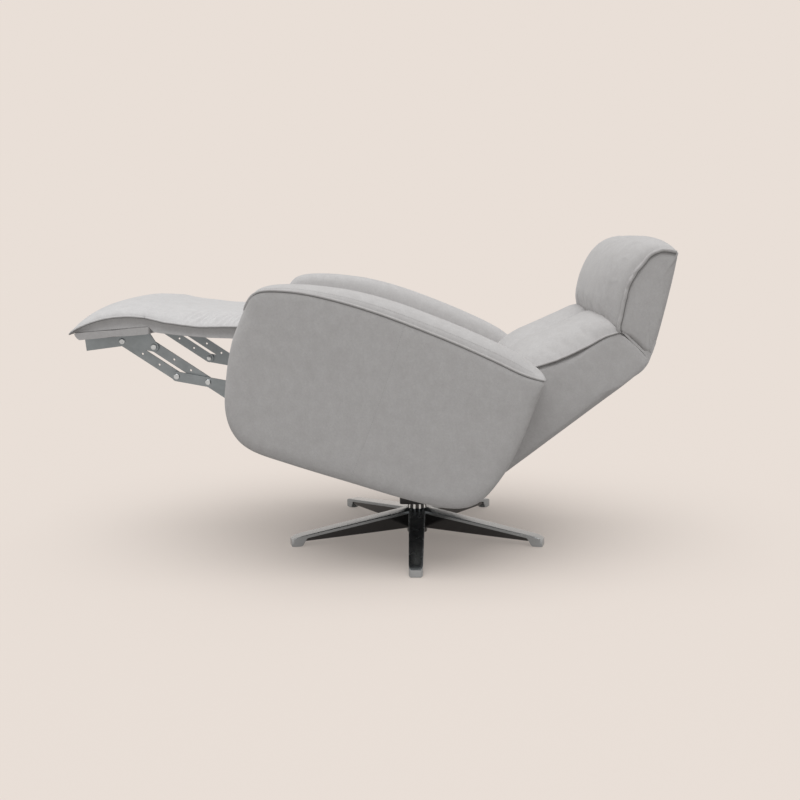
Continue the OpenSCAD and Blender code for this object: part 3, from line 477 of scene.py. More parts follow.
def puff(o, pins, pressure, cap, shrink=0.0, amount=None):
    """Has the free part of a piece swell by cloth simulation, by cap millimetres at most. pins are its held
    points, and amount is the share of the swelling that each of its first points takes."""
    group = o.vertex_groups.new(name="held")
    for i, w in enumerate(pins):
        if w > 0:
            group.add([i], float(w), "REPLACE")
    mod = o.modifiers.new("swell", "CLOTH")
    s = mod.settings
    s.quality = 6
    s.mass = 0.25
    s.air_damping = 4
    s.tension_stiffness = s.compression_stiffness = 18
    s.shear_stiffness = 9
    s.bending_stiffness = 0.5
    s.tension_damping = s.compression_damping = s.shear_damping = 8
    s.use_pressure = True
    s.uniform_pressure_force = pressure
    s.shrink_min = shrink
    s.vertex_group_mass = "held"
    s.pin_stiffness = 5
    s.effector_weights.gravity = 0
    mod.collision_settings.use_collision = False
    mod.collision_settings.use_self_collision = False
    mod.point_cache.frame_start = 1
    mod.point_cache.frame_end = LAST_FRAME
    CLOTHS.append((o, mod, cap / 1000, amount))


def points_of(mesh):
    a = np.empty(len(mesh.vertices) * 3)
    mesh.vertices.foreach_get("co", a)
    return a.reshape(-1, 3)


def run_cloths():
    """Runs all the cloths together and keeps their last shape as the pieces' own."""
    if not CLOTHS:
        return
    for f in range(1, LAST_FRAME + 1):
        scene.frame_set(f)
    deps = bpy.context.evaluated_depsgraph_get()
    swollen = [points_of(o.evaluated_get(deps).to_mesh()) for o, *_ in CLOTHS]
    for (o, mod, cap, amount), after in zip(CLOTHS, swollen):
        before = points_of(o.data)
        d = after - before
        n = np.linalg.norm(d, axis=1)
        d *= np.where(n > 1e-9, cap * np.tanh(n / cap) / np.maximum(n, 1e-9), 0)[:, None]
        if amount is not None:
            d[:len(amount)] *= amount[:, None]
        o.modifiers.remove(mod)
        o.data.vertices.foreach_set("co", (before + d).ravel())
        o.data.update()
    scene.frame_set(1)


def refine(o):
    m = o.modifiers.new("finer", "SUBSURF")
    m.levels = m.render_levels = 1
    m.boundary_smooth = "PRESERVE_CORNERS"


# Covers
Form = namedtuple("Form", "line out half crown rounding section")


def outline(points, count, corners=()):
    """A closed line through points, and the way out of it at each of its points."""
    line = resample(spline(points, 20, True, corners), count, True)
    out = normals(line, True)
    if (out * (line - line.mean(0))).sum() < 0:
        out = -out
    return line, out


def cornered_outline(points, count, corner):
    """An outline that is sharp at one of its points, and the place of that corner in it."""
    line, out = outline(points, count, (corner,))
    k = int(np.argmin(np.linalg.norm(line - np.array(points[corner]), axis=1)))
    line[k] = points[corner]
    return line, out, k


def drop(r, d):
    """How far an edge that is rounded by r has fallen at a distance d into the rounding."""
    if r <= 0.5 or d <= 0:
        return 0.0
    return r * (1 - math.sqrt(max(0.0, 1 - min(1.0, d / r) ** 2)))


def side_panel(verts, faces, edge, sgn, centre, bow, seed):
    """Closes one side of a cover from its edge to the centre, slightly bowed and uneven."""
    n = len(edge)
    loop = verts[edge]
    reach = np.linalg.norm(centre[1:] - loop[:, 1:], axis=1)
    way = (centre[1:] - loop[:, 1:]) / reach[:, None]
    near = reach * 0.45
    steps = [near * np.tanh(d / near) for d in (2, 6, 12, 20, 30)]
    steps += [reach * s for s in (0.5, 0.62, 0.74, 0.86)]
    for step in steps:
        ring = loop.copy()
        ring[:, 1:] += way * step[:, None]
        ring[:, 0] += sgn * bow * (1 - np.exp(-step / 12))
        for p, d in zip(ring, step):
            p[0] += sgn * 0.8 * min(1, d / 20) * wave((0, p[1], p[2]), 70, seed)
        new = list(range(len(verts), len(verts) + n))
        verts = np.vstack([verts, ring])
        faces += [(edge[i], edge[(i + 1) % n], new[(i + 1) % n], new[i]) for i in range(n)]
        edge = new
    faces += [(edge[i], edge[(i + 1) % n], len(verts)) for i in range(n)]
    return np.vstack([verts, [centre]])


def cover(name, form, bow, mid, place, body, shift=0.0, stations=29, free=None, seed=0.0, soft_side=0,
          soft_round=None):
    """A closed cover carried across X: its skin swells by the form's crown where it is padded and rounds off
    where it isn't. free says where cloth may move. soft_side has its own, softer rounding."""
    n, k, half = len(form.line), stations, form.half
    t = np.linspace(-1, 1, stations)
    xs = half * (np.sin(t * math.pi / 2) * 0.45 + t * 0.55)
    verts, pins = np.zeros((n * k, 3)), np.ones(n * k)
    for i in range(n):
        for j, x in enumerate(xs):
            r = max(form.rounding[i], soft_round[i]) if x * soft_side > 0 else form.rounding[i]
            off = form.crown[i] * form.section(x / half) - drop(r, abs(x) - (half - r))
            verts[i * k + j] = (x + shift, *(form.line[i] + form.out[i] * off))
            u = abs(x) / half
            if free is not None and free[i] > 0 and u < 0.97:
                pins[i * k + j] = 1 - free[i] * min(1.0, 6 * (1 - u))
    faces = []
    for i in range(n):
        a, b = i * k, ((i + 1) % n) * k
        faces += [(a + j, a + j + 1, b + j + 1, b + j) for j in range(k - 1)]
    for column, sgn in ((0, -1), (k - 1, 1)):
        edge = [i * k + column for i in range(n)]
        verts = side_panel(verts, faces, edge, sgn, np.array([shift + sgn * (half + bow), *mid]), bow, seed)
    pins = np.r_[pins, np.ones(len(verts) - len(pins))]
    return make(name, world(verts, place), faces, FABRIC, body), pins


def seam(form, picks, side, shift=0.0, lift=0.0, tuck=0.75, inset=0.0):
    """Points along the seam between a cover's padded band and its side panel."""
    pts = []
    for i in picks:
        x = form.half - tuck * form.rounding[i] - inset
        off = form.crown[i] * form.section(x / form.half) + lift
        off -= drop(form.rounding[i], x - (form.half - form.rounding[i]))
        pts.append((side * x + shift, *(form.line[i] + form.out[i] * off)))
    return np.array(pts)


def welt(name, runs, place, body, radius, line=0.8, wobble=0.0, outer=0.0, material=WELT):
    """Piping along seams. A run is its points and the way the padded side swells there. A thin dark cord of
    painted shade lies under the piping on the side panel, and a second one on the padded side where outer is
    given."""
    # The second list holds the thin dark cords of painted shade beside the piping
    cords, folds = [], []
    for run, ways in runs:
        p = smoothed(run, 3)
        sway = [[wave(q, 22, 4.0), wave(q, 17, 9.0), wave(q, 19, 2.0)] for q in p]
        p = p + wobble * np.array(sway)
        off = np.zeros((len(p), 3))
        off[:, 1:] = ways
        aside = np.zeros((len(p), 3))
        aside[:, 0] = np.sign(p[:, 0].mean())
        cords.append(tube(p, radius, 9, taper=1.5))
        folds.append(tube(p - off * radius * 0.97 + aside * radius * 0.45, line, 6))
        if outer:
            folds.append(tube(p - aside * radius * 0.97 + off * radius * outer, line, 6))
    for suffix, parts, its in (("", cords, material), ("_fold", folds, SHADOW)):
        v, f = joined(*parts)
        settle(make(name + suffix, world(v, place), f, its, body))


def row_of_stitches(name, path, size, gap, radius):
    v, f = stitches(path, size, gap, radius)
    settle(make(name, world(v, SEAT), f, THREAD_AND_SHADE, "seat"))


# Pads
def pad_rows(top, low, swell, half, stations, sides, square=None):
    """Closed cross loops for a pad, whose top and low paths run together. The top rises by swell(row, u).
    sides lists how far each side wall lies in from the edge, and how far down. square is the place of a
    second row that keeps one end square: 1, or the last."""
    out = normals(top)
    if (out * (top - low)).sum() < 0:
        out = -out
    rows, free = [], []
    for i in range(len(top)):
        over = [(u * half, *(top[i] + out[i] * swell(i, u))) for u in stations]
        wall = [(half - inset, *(top[i] + (low[i] - top[i]) * w)) for inset, w in sides]
        under = [(u * (half - sides[-1][0]), *low[i]) for u in reversed(stations)]
        rows.append(over + wall + under + [(-x, y, z) for x, y, z in reversed(wall)])
        free.append([1.0] * len(over) + [0.0] * (2 * len(wall) + len(under)))
    if square is not None:
        near, end = (rows[1], rows[0]) if square == 1 else (rows[-2], rows[-1])
        rows.insert(square, np.array(end) + (np.array(near) - np.array(end)) * 0.12)
        free.append(free[0])
    return np.array(rows, float), np.array(free, float)


def pad(name, rows, free, stations, place, body, held=1, rings=(0.97, 0.7, 0.4), groove=None):
    """A closed pad over cross loops, held at its ends, its side edges and along its groove."""
    verts, faces = loft(rows, rings)
    f = free.copy()
    f[:held] = f[-held:] = 0
    f[:, 0] = f[:, len(stations) - 1] = 0
    if groove:
        f[:, groove] = 0
    pins = np.r_[(1 - f).reshape(-1), np.ones(len(verts) - f.size)]
    return make(name, world(verts, place), faces, FABRIC, body), pins


def crowded(n, power):
    """Places from -1 to 1 that lie closer together towards both ends."""
    return [math.copysign(1 - (1 - abs(t)) ** power, t) for t in np.linspace(-1, 1, n)]


def bolster(name, points, per, count, half, stations, edge, place, body, inset=0.0, share=0.0, mid=None,
            rings=(), sharp=None):
    """A closed section carried across X. In the last millimetres at each end, edge of them, it draws in by a
    length or by a share."""
    line = resample(spline(points, per, True), count, True)
    to_mid = (line.mean(0) if mid is None else np.array(mid)) - line
    rows = []
    for x in np.linspace(-half, half, stations):
        e = max(0.0, (abs(x) - half + edge) / edge) ** 2
        drawn = line + to_mid * (share + inset / np.linalg.norm(to_mid, axis=1)[:, None]) * e
        rows.append([(x, *p) for p in drawn])
    v, f = loft(rows, rings)
    return make(name, world(v, place), f, FABRIC, body, sharp)


# Arms
ARM_SHARES = [(0, .569), (.003, .69), (.011, .8), (.026, .88), (.06, .925), (.166, .972), (.296, .993),
              (.43, .995), (.565, .983), (.702, .964), (.841, .935), (.94, .909), (1, .918), (1, .76),
              (.994, .52), (.972, .3), (.925, .115), (.843, .034), (.7, .008), (.5, .003), (.3, 0),
              (.16, .01), (.085, .075), (.038, .2), (.012, .39)]
ARM_CROWN = [(0, 0), (.03, 6), (.08, 11), (.15, 15), (.22, 20), (.3, 27), (.4, 32), (.51, 34.5), (.61, 35),
             (.82, 36.5), (.9, 35), (.95, 29), (.985, 18), (1, 6)]
ARM_ROUND, ARM_INNER_ROUND, ARM_POINTS = 18, 24, 260
ARM_X = (CHAIR_W - ARM_W) / 2
ARM_SIDES = ((1, "left"), (-1, "right"))

arm_line, arm_out, arm_corner = cornered_outline(
    [(ARM_FRONT + a * ARM_LEN, ARM_FLOOR_GAP + b * ARM_H) for a, b in ARM_SHARES], ARM_POINTS, 12)
share_y = (arm_line[:, 0] - ARM_FRONT) / ARM_LEN
share_z = (arm_line[:, 1] - ARM_FLOOR_GAP) / ARM_H
past_corner = np.arange(ARM_POINTS) - arm_corner
upper = past_corner <= 0
on_top = np.where(upper, soft((share_z - 0.76) / 0.16), 0.0)
arm_form = Form(arm_line, arm_out, ARM_W / 2, ramp(share_y, ARM_CROWN) * on_top,
                ARM_ROUND * np.where(upper, 1 - on_top, soft(past_corner / 9)), ARM_SECTION)
arm_free = np.where(past_corner < -2, on_top, 0)
arm_inner = ARM_INNER_ROUND * on_top * soft((1.0 - share_y) / 0.06)
arm_mid = (ARM_FRONT + 0.47 * ARM_LEN, ARM_FLOOR_GAP + 0.5 * ARM_H)
arm_covers = {}
for side, name in ARM_SIDES:
    arm_covers[name], pins = cover(f"arm_cover_{name}", arm_form, 3.0, arm_mid, SEAT, "seat",
                                   shift=side * ARM_X, free=arm_free, seed=side * 2.3, soft_side=-side,
                                   soft_round=arm_inner)
    puff(arm_covers[name], pins, 3.2, 6)

# Back
BACK_FRONT = [(-101.2, 36.6), (-88, 118.8), (-60, 221.2), (-38, 283.3), (-21, 360.1), (-14, 411.3), (0, 438)]
BACK_REAR = [(86.6, 454), (105, 433)] + [(BACK_FOOT_R, z) for z in (377, 310.8, 228.5, 137, 54.8)]
BACK_POINTS, BACK_CROWN, BACK_ROWS = 210, 52.0, 48
CUSHION_SHARES = (.29, .38, .484, .62, .788, .88, .95)
BACK_SWELL = [(0, 0), (.1, .5), (.2, .76), (.35, .98), (.5, 1.04), (.7, 1.03), (.8, 1), (.9, .94), (.95, .89),
              (1, .78)]
CHANNEL_DEPTH, CHANNEL_HALF = 0.34, 0.42


def foot_arc(degrees):
    """The round foot of the back, about its pivot. Degrees count from straight down, to the front."""
    return [(-BACK_FOOT_R * math.sin(a), -BACK_FOOT_R * math.cos(a)) for a in np.radians(degrees)]


back_line, back_out = outline(
    foot_arc(range(9, 82, 18)) + BACK_FRONT + BACK_REAR + foot_arc(range(-81, -8, 18)), BACK_POINTS)
back_form = Form(back_line, back_out, BACK_HALF, np.zeros(BACK_POINTS),
                 11 - 8.5 * soft((back_line[:, 1] - 315) / 60), ARM_SECTION)
back_cover, _ = cover("back_cover_fabric", back_form, 3.0, (25, 190), BACK, "back", seed=5, stations=33)

front_y, front_z = np.array(BACK_FRONT).T
cushion_z = np.array(CUSHION_SHARES) * BACK_LEN
cushion = resample(spline(np.stack([np.interp(cushion_z, front_z, front_y), cushion_z], 1), 12), BACK_ROWS)
cushion_out = normals(cushion)
if cushion_out[:, 0].mean() > 0:
    cushion_out = -cushion_out
back_share = np.linspace(0, 1, BACK_ROWS)
back_height = BACK_CROWN * ramp(back_share, BACK_SWELL)
toward_end = soft((back_share - 0.8) / 0.2)


def back_swell(i, u):
    """Rounded at both sides, fuller at the top end, with a stitched-down channel in the middle."""
    channel = 1 - CHANNEL_DEPTH * (1 - min(1.0, abs(u) / CHANNEL_HALF)) ** 2.6
    section = BACK_SECTION(u) + toward_end[i] * (BACK_TOP_SECTION(u) - BACK_SECTION(u))
    return back_height[i] * channel * section


one_side = [*np.linspace(0, 0.12, 7)[1:], *np.linspace(0.12, 0.88, 20)[1:], *np.linspace(0.88, 1, 7)[1:]]
stations = [-v for v in one_side[::-1]] + [0.0] + one_side
rows, free = pad_rows(cushion + cushion_out, cushion - 2 * cushion_out, back_swell, BACK_PAD_HALF, stations,
                      ((0, .3), (1, .7)))
back_pad, pins = pad("back_cushion_cover", rows, free, stations, BACK, "back", held=2, groove=len(one_side))
puff(back_pad, pins, 4.0, 8, shrink=-0.012)

# Headrest
HEAD_FRONT = [(-.326, .19), (-.343, .285), (-.351, .47), (-.344, .625), (-.302, .776), (-.238, .905),
              (-.157, .982), (-.045, 1.012)]
HEAD_REAR = [(.024, 1.008), (.040, .85), (.050, .5), (.048, .12), (.02, .01), (-.15, .1)]
HEAD_CROWN = [(0, 14), (.03, 26), (.06, 36), (.1, 44), (.16, 49), (.25, 52), (.45, 54), (.6, 57), (.7, 54),
              (.78, 46), (.88, 33), (.96, 17), (1, 5)]
HEAD_POINTS = 150

head_line, head_out, head_corner = cornered_outline(
    [(a * HEAD_LEN, b * HEAD_LEN) for a, b in HEAD_FRONT + HEAD_REAR], HEAD_POINTS, len(HEAD_FRONT))
past_corner = np.arange(HEAD_POINTS) - head_corner
before_start = HEAD_POINTS - np.arange(HEAD_POINTS)
padded = past_corner <= 0
head_share = np.clip(np.arange(HEAD_POINTS) / head_corner, 0, 1)
level = np.where(padded, 1 - soft(head_share / 0.16), soft(1 - before_start / 10))[:, None]
head_out = head_out * (1 - level) + np.array([-0.97, -0.24]) * level
head_out /= np.linalg.norm(head_out, axis=1)[:, None]
head_form = Form(head_line, head_out, HEAD_HALF,
                 np.where(padded, ramp(head_share, HEAD_CROWN), 14 * soft(1 - before_start / 8)),
                 np.where(padded, 0.0, 9 * soft(np.minimum(past_corner / 6, before_start / 8))), HEAD_SECTION)
head_free = np.where(padded & (head_share > .03) & (head_share < .96), 1.0, 0.0)
head_pad, pins = cover("headrest_cover_fabric", head_form, 2.5, (-36, 132), HEAD, "headrest", stations=53,
                       free=head_free, seed=8)
puff(head_pad, pins, 4.0, 6, shrink=-0.008)

# Footrest
FOOT_SHARES = [(0, .0), (.062, .26), (.155, .49), (.3, .76), (.464, .95), (.62, 1.02), (.773, .98),
               (.918, .86), (1, .76)]
FOOT_SWELL = [(0, 0), (.04, 7), (.08, 13), (.16, 20), (.26, 25), (.4, 28), (.55, 30), (.75, 32), (1, 36)]
FOOT_ROWS, BOARD_TOP = 36, 34.9
BOXING = ((3.0, .04), (7.0, .16), (9.0, .45), (9.5, .75), (8.0, .97))

foot_top = resample(spline([(-108 + s * 195, BOARD_TOP + 31 * t) for s, t in FOOT_SHARES], 10), FOOT_ROWS)
foot_low = np.stack([np.linspace(-103, 86, FOOT_ROWS), np.full(FOOT_ROWS, BOARD_TOP + 0.1)], 1)
foot_height = ramp(np.linspace(0, 1, FOOT_ROWS), FOOT_SWELL)
stations = crowded(61, 1.3)
rows, free = pad_rows(foot_top, foot_low, lambda i, u: foot_height[i] * LEG_REST_SECTION(u), LEG_REST_HALF,
                      stations, BOXING, square=FOOT_ROWS - 1)
# The end rows lie slightly below the calf pad's lap
rows[-2:, :, 2] -= 0.6
rows[-2:, :, 0] *= 0.998
foot_pad, pins = pad("footrest_cushion_cover", rows, free, stations, FOOT, "footrest")
swelling = np.repeat(np.r_[soft(np.arange(FOOT_ROWS - 1, 0, -1) / 14), 0, 0], rows.shape[1])
puff(foot_pad, pins, 4.0, 6, shrink=-0.012, amount=swelling)

# Calf pad
CALF_ROWS, CALF_LAP = 84, 4.0
GATHER_DEPTH, GATHER_PITCH = 3.6, 19.0
CALF_TOP = [shown_in(FOOT_IN_SEAT, (84, 58.4)), (-738, 407.8), (-704, 412), (-638, 424.8), (-552, 452),
            (-461, 477)]
CALF_LOW = [(-759, 386), (-744, 375.5), (-706, 382), (-660, 392), (-605, 405), (-552, 420), (-461, 444)]
calf_top = resample(spline(CALF_TOP, 12), CALF_ROWS)
calf_low = resample(spline(CALF_LOW, 12, corners=(1,)), CALF_ROWS)
calf_height = ramp(np.linspace(0, 1, CALF_ROWS), [(0, 36), (.3, 35), (.55, 32), (.8, 24), (1, 14)])


def calf_swell(i, u):
    """A full section, with small folds that run in from the seam, most towards the seat."""
    height = calf_height[i] * LEG_REST_SECTION(u)
    edge = max(0.0, (abs(u) - 0.62) / 0.38)
    if edge <= 0:
        return height
    s = i / (CALF_ROWS - 1)
    uneven = 1.5 * math.sin(s * 33 + (3 if u > 0 else 0))
    phase = (s * 372 - 44 * (1 - edge)) / GATHER_PITCH * 2 * math.pi + uneven
    wide = soft(edge / 0.75) * (1 - edge ** 8)
    return height + GATHER_DEPTH * wide * math.sin(phase) * soft((s - 0.2) / 0.3)


rows, free = pad_rows(calf_top, calf_low, calf_swell, LEG_REST_HALF, stations, BOXING, square=1)
rows[:2, :, 1:] += (calf_top[0] - calf_top[1]) / np.linalg.norm(calf_top[0] - calf_top[1]) * CALF_LAP
calf_pad, pins = pad("calf_pad_cover", rows, free, stations, SEAT, "seat")
swelling = np.repeat(np.r_[0, 0, soft(np.arange(1, CALF_ROWS) / 29)], rows.shape[1])
puff(calf_pad, pins, 4.0, 5, shrink=-0.012, amount=swelling)

# Seat
SEAT_TOP = [(-461, 412), (-461, 436), (-455, 458), (-430, 474), (-406, 479), (-340, 481), (-272, 482.4),
            (-207, 483.5), (-141, 482.6), (-76, 481), (-10, 479), (14, 477)]
SEAT_SWELL = [(0, 0), (.05, 2.4), (.15, 7.2), (.3, 8), (.8, 8), (.94, 4.8), (1, 0)]
SEAT_ROWS = 54
seat_top = resample(spline(SEAT_TOP, 8), SEAT_ROWS)
seat_low = np.stack([np.linspace(-450, -14, SEAT_ROWS), np.full(SEAT_ROWS, 355.0)], 1)
seat_height = ramp(np.linspace(0, 1, SEAT_ROWS), SEAT_SWELL)
stations = crowded(53, 1.25)
rows, free = pad_rows(seat_top, seat_low, lambda i, u: seat_height[i] * LEG_REST_SECTION(u), SEAT_HALF,
                      stations, ((-2, .12), (-3, .3), (-3, .5), (-2, .7), (0, .9)))
seat_pad, pins = pad("seat_cushion_cover", rows, free, stations, SEAT, "seat", held=2, rings=(0.92, 0.8, 0.5))
puff(seat_pad, pins, 3.5, 7)

run_cloths()

# Soft roll between the seat's rear and the back's front
ROLL = [(-11, 392), (-3, 412), (6, 432), (14, 455), (20, 473), (30, 481), (43, 482), (54, 475), (50, 467),
        (35, 452), (20, 437), (8, 421), (-2, 402)]
seat_roll = bolster("seat_rear_roll", ROLL, 6, 40, BETWEEN - 9, 40, 26, SEAT, "seat", share=0.3,
                    rings=(0.7, 0.4))

# Fabric that bridges the rear of the headrest hinge
NECK = [(-2, 441.5), (20, 444), (45, 447.5), (70, 451.5), (88, 447), (97, 430), (101, 402), (106.6, 396),
        (108.8, 418), (106, 436), (99.5, 453), (89.5, 469), (77.5, 484.5), (69, 495), (62, 492), (74, 474),
        (70, 459.5), (45, 454), (20, 449.5), (0, 446)]
neck_strip = bolster("headrest_neck_fabric", NECK, 8, 110, BACK_HALF - 0.5, 61, 12.5, BACK, "back", inset=2.5,
                     mid=(84.0, 456.0), sharp=50)

# Fabric-wrapped board under the footrest pad
BOARD = [(-97, 26), (-90, 17.2), (-80, 16.2), (0, 16.0), (84, 16.2), (91.5, 19), (92, 30), (89, 34.4),
         (0, 34.7), (-92, 34.4), (-98, 31)]


# Seams
def lay_on(o, points, away, place, lift):
    """Points moved along -away until they lie on a piece, all in the place's own millimetres."""
    back = np.linalg.inv(place)
    tree = BVHTree.FromPolygons([v.co[:] for v in o.data.vertices], [p.vertices[:] for p in o.data.polygons])
    d = place[:3, :3] @ np.array(away, float)
    out = []
    for p in world(points, place):
        hit = tree.ray_cast(Vector(p + d * 0.2), Vector(-d))[0]
        if hit:
            out.append(back[:3, :3] @ (np.array(hit) * 1000 + d * lift) + back[:3, 3])
    return np.array(out)


def arm_seams(side, name):
    """Piping and a row of stitches along the outer edge of an arm's top."""
    edge = [i for i in range(ARM_POINTS) if upper[i] and share_z[i] > 0.76]
    crest = [i for i in edge if on_top[i] > 0.7][2:-4]
    piped = seam(arm_form, edge, side, side * ARM_X, lift=0.9)
    welt(f"arm_welts_{name}", [(piped, arm_out[edge])], SEAT, "seat", radius=3.1)
    stitched = seam(arm_form, crest, side, side * ARM_X, lift=0.7, tuck=0.2, inset=6.5)
    row_of_stitches(f"arm_top_stitching_{name}", stitched, size=3.2, gap=1.6, radius=0.4)


def arm_side_seam(side, name):
    """An upright row of stitches on an arm's outer side."""
    t = np.linspace(0, 1, 90)
    y = -158 - 12 * t + 5 * np.sin(t * math.pi)
    line = np.stack([np.full(len(t), side * CHAIR_W / 2), y, 590 - 390 * t], 1)
    row_of_stitches(f"arm_side_seam_{name}", lay_on(arm_covers[name], line, (side, 0, 0), SEAT, 0.05),
                    size=3.6, gap=1.2, radius=0.55)


def back_seams():
    """Piping at both edges of the back cushion, and a dark cord of painted shade in the groove where its
    channel is held down.
    """
    runs = []
    for sgn in (1, -1):
        edge = cushion + cushion_out * 2.0
        p = np.insert(edge, 0, sgn * (BACK_HALF + 1.2), axis=1)
        end = [[sgn * 263.5, -8, 438.5], [sgn * 263, -1, 441.5], [sgn * 262, 8, 443]]
        runs.append((np.vstack([p, end]), np.vstack([cushion_out, [[-.9, .4], [-.6, .8], [-.2, .98]]])))
    welt("back_welts", runs, BACK, "back", radius=2.6, wobble=0.6)
    # A dark cord along the channel's groove, standing in for its shade: painted shade
    deep = cushion + cushion_out * (1.0 + back_height * (1 - CHANNEL_DEPTH))[:, None]
    v, f = tube(smoothed(np.insert(deep[2:-2], 0, 0, axis=1), 6), 1.5, 8, taper=2)
    settle(make("back_channel_painted_shade", world(v, BACK), f, SHADOW, "back"))


def headrest_seams():
    """Thick, slightly wavy piping from under the headrest, over its front, up to its rear top corner."""
    picks = list(range(head_corner))
    runs = []
    for sgn in (1, -1):
        p = seam(head_form, picks, sgn, lift=1.8)
        p[:, 0] += sgn * 1.2
        start = p[0] + np.array([sgn * -1.5, 5, -10])
        runs.append((np.vstack([[start], p]), np.vstack([[head_out[0]], head_out[picks]])))
    welt("headrest_welts", runs, HEAD, "headrest", radius=5.0, line=1.0, wobble=2.6, outer=0.5)


def leg_rest_seams():
    """Piping round the footrest pad's two sides and front, and along the calf pad's sides."""
    def both_sides(top, half, down):
        return [(np.insert(top - (0, down), 0, sgn * half, axis=1), (0, 1)) for sgn in (1, -1)]

    front_x = np.linspace(-LEG_REST_HALF, LEG_REST_HALF, 60)
    front = np.stack([front_x, np.full(60, foot_top[0, 0] - 0.6), np.full(60, foot_top[0, 1])], 1)
    runs = both_sides(foot_top, LEG_REST_HALF + 0.4, 0.6) + [(front, (0, 1))]
    welt("footrest_welts", runs, FOOT, "footrest", radius=2.6, wobble=0.5, material=LIT_LEG_FABRIC)
    welt("calf_pad_welts", both_sides(calf_top, LEG_REST_HALF, 0), SEAT, "seat", radius=2.6, wobble=0.8,
         material=LIT_LEG_FABRIC)


for side, name in ARM_SIDES:
    arm_seams(side, name)
for side, name in ARM_SIDES:
    arm_side_seam(side, name)
back_seams()
headrest_seams()
leg_rest_seams()
board = bolster("footrest_board_cover", BOARD, 8, 60, LEG_REST_HALF - 1, 30, 10, FOOT, "footrest", inset=3,
                rings=(0.96, 0.85, 0.5), sharp=60)

# What each soft piece stands for
for o in (back_pad, foot_pad, calf_pad, seat_pad):
    refine(o)
# The leg rest's pads take the lighter copy of the fabric, which is painted light
for o in (foot_pad, calf_pad):
    o.data.materials[0] = LIT_LEG_FABRIC
seat_pad.data.materials.append(LINING)
for face in seat_pad.data.polygons:
    face.material_index = int(face.normal.z < -0.7)
settle(back_cover, ("back_cover",))
settle(head_pad, ("headrest_cover", "headrest_cushion"))
settle(back_pad, ("back_cushion",))
settle(foot_pad, ("footrest_cushion",))
settle(calf_pad, ("calf_pad",))
settle(seat_pad, ("seat_cushion",))
settle(seat_roll)
settle(board, ("footrest_board",))
for name, o in arm_covers.items():
    settle(o, (f"arm_{name}",))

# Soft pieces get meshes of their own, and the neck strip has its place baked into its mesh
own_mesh(seat_roll)
for o in (calf_pad, bpy.data.objects["calf_pad_welts"], bpy.data.objects["calf_pad_welts_fold"]):
    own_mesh(o)
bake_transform(neck_strip)

# Star base: distances q run outwards along a leg from the hub's axis
LEGS, LEG_FROM, LEG_RUN = 5, 19.5, 338
LEG_ROOT_W, LEG_TIP_W, LEG_ROOT_TOP, LEG_FALL = 46, 35, 77, 52
RIM, TIP_FROM, GROUND_GAP = 8.5, 314, 1.4
HUB_FOOT = [(20.5, 10), (25, 8), (27.5, 9.4), (28.5, 12), (28.5, 40), (28.5, 62), (28.4, 68)]
HUB_CROWN = [(28.4, 68), (28.2, 72), (27.2, 77), (26.2, 82), (25.3, 88), (24.6, 93), (23.9, 96), (22.6, 97.7),
             (20.5, 98)]
CROWN_FROM = 67
# Face finishes. The black one is paint on the legs and the hub's foot, and painted shade in the hub's flutes
# and grooves; the last is painted reflection on the hub's lands
BRIGHT, BLACK_PAINT_AND_SHADE, PAINTED_GLINT = 0, 1, 2


def leg_at(q):
    """Half the width of a leg, and the height of its top."""
    s = (q - LEG_FROM) / LEG_RUN
    return (LEG_ROOT_W + (LEG_TIP_W - LEG_ROOT_W) * s) / 2, LEG_ROOT_TOP - LEG_FALL * s


def shell_section(q):
    """A leg's bright shell: a bevelled top with a rim, and skirts that reach the ground round its tip."""
    w, top = leg_at(q)
    nose = max(0.0, (q - 330) / 27.5)
    w *= math.sqrt(max(0.02, 1 - 0.5 * nose ** 4))
    top -= 5.0 * nose ** 2.4
    skirt = RIM + (top - RIM - GROUND_GAP) * soft((q - TIP_FROM) / 18)
    rise = 3.5 * min(1.0, max(0.0, (62 - q) / 36) ** 2)
    wall = soft((q - 340) / 8)
    bevel = 1.4 + 5 * (1 - soft((q - 28) / 34))
    under = (top - RIM + 1.5) * (1 - wall) + (top - skirt + 0.6) * wall
    half = [(0, top + 0.4 + rise), (w - bevel - 4, top + 0.3 + rise * 0.86), (w - bevel, top + rise * 0.3),
            (w - 0.35, top - 0.4), (w, top - 0.9), (w, top - skirt + 1), (w - 0.8, top - skirt),
            (w - 4, top - skirt + 0.6), (0, under)]
    return [(q, y, z) for y, z in half] + [(q, -y, z) for y, z in half[-2:0:-1]]


def blade_section(q):
    """The black blade under a leg, deep at the hub and shallow at the tip."""
    w, top = leg_at(q)
    w *= 0.78
    top -= 8.0
    low = min(25 - 11.5 * ((q - 22) / 300) ** 0.9, top - 0.6)
    return [(q, w, top), (q, w, low + 2), (q, w - 2, low), (q, -w + 2, low), (q, -w, low + 2), (q, -w, top)]


def leg():
    """The parts of one leg along +X, each with the finishes of its faces."""
    places = np.r_[np.linspace(20, 66, 14), np.linspace(74, TIP_FROM, 26), np.linspace(317, 357.5, 13)]
    rows = [shell_section(q) for q in places]
    v, f = loft(rows, rings=(0.6,))
    finish = [BRIGHT] * len(f)
    loop = len(rows[0])
    for i in range(len(rows) - 1):
        if places[i] < TIP_FROM:
            finish[i * loop + 6:i * loop + 10] = [BLACK_PAINT_AND_SHADE] * 4
    blade_v, blade_f = loft([blade_section(q) for q in np.linspace(22, 322, 26)], rings=(0.5,))
    return [(v, f, finish), (blade_v, blade_f, [BLACK_PAINT_AND_SHADE] * len(blade_f))]


def from_leg(p, start):
    """Angle in degrees from the nearest leg, for start 0, or from the nearest flute between two, for 36."""
    return (math.degrees(math.atan2(p[1], p[0])) - start + 36) % 72 - 36


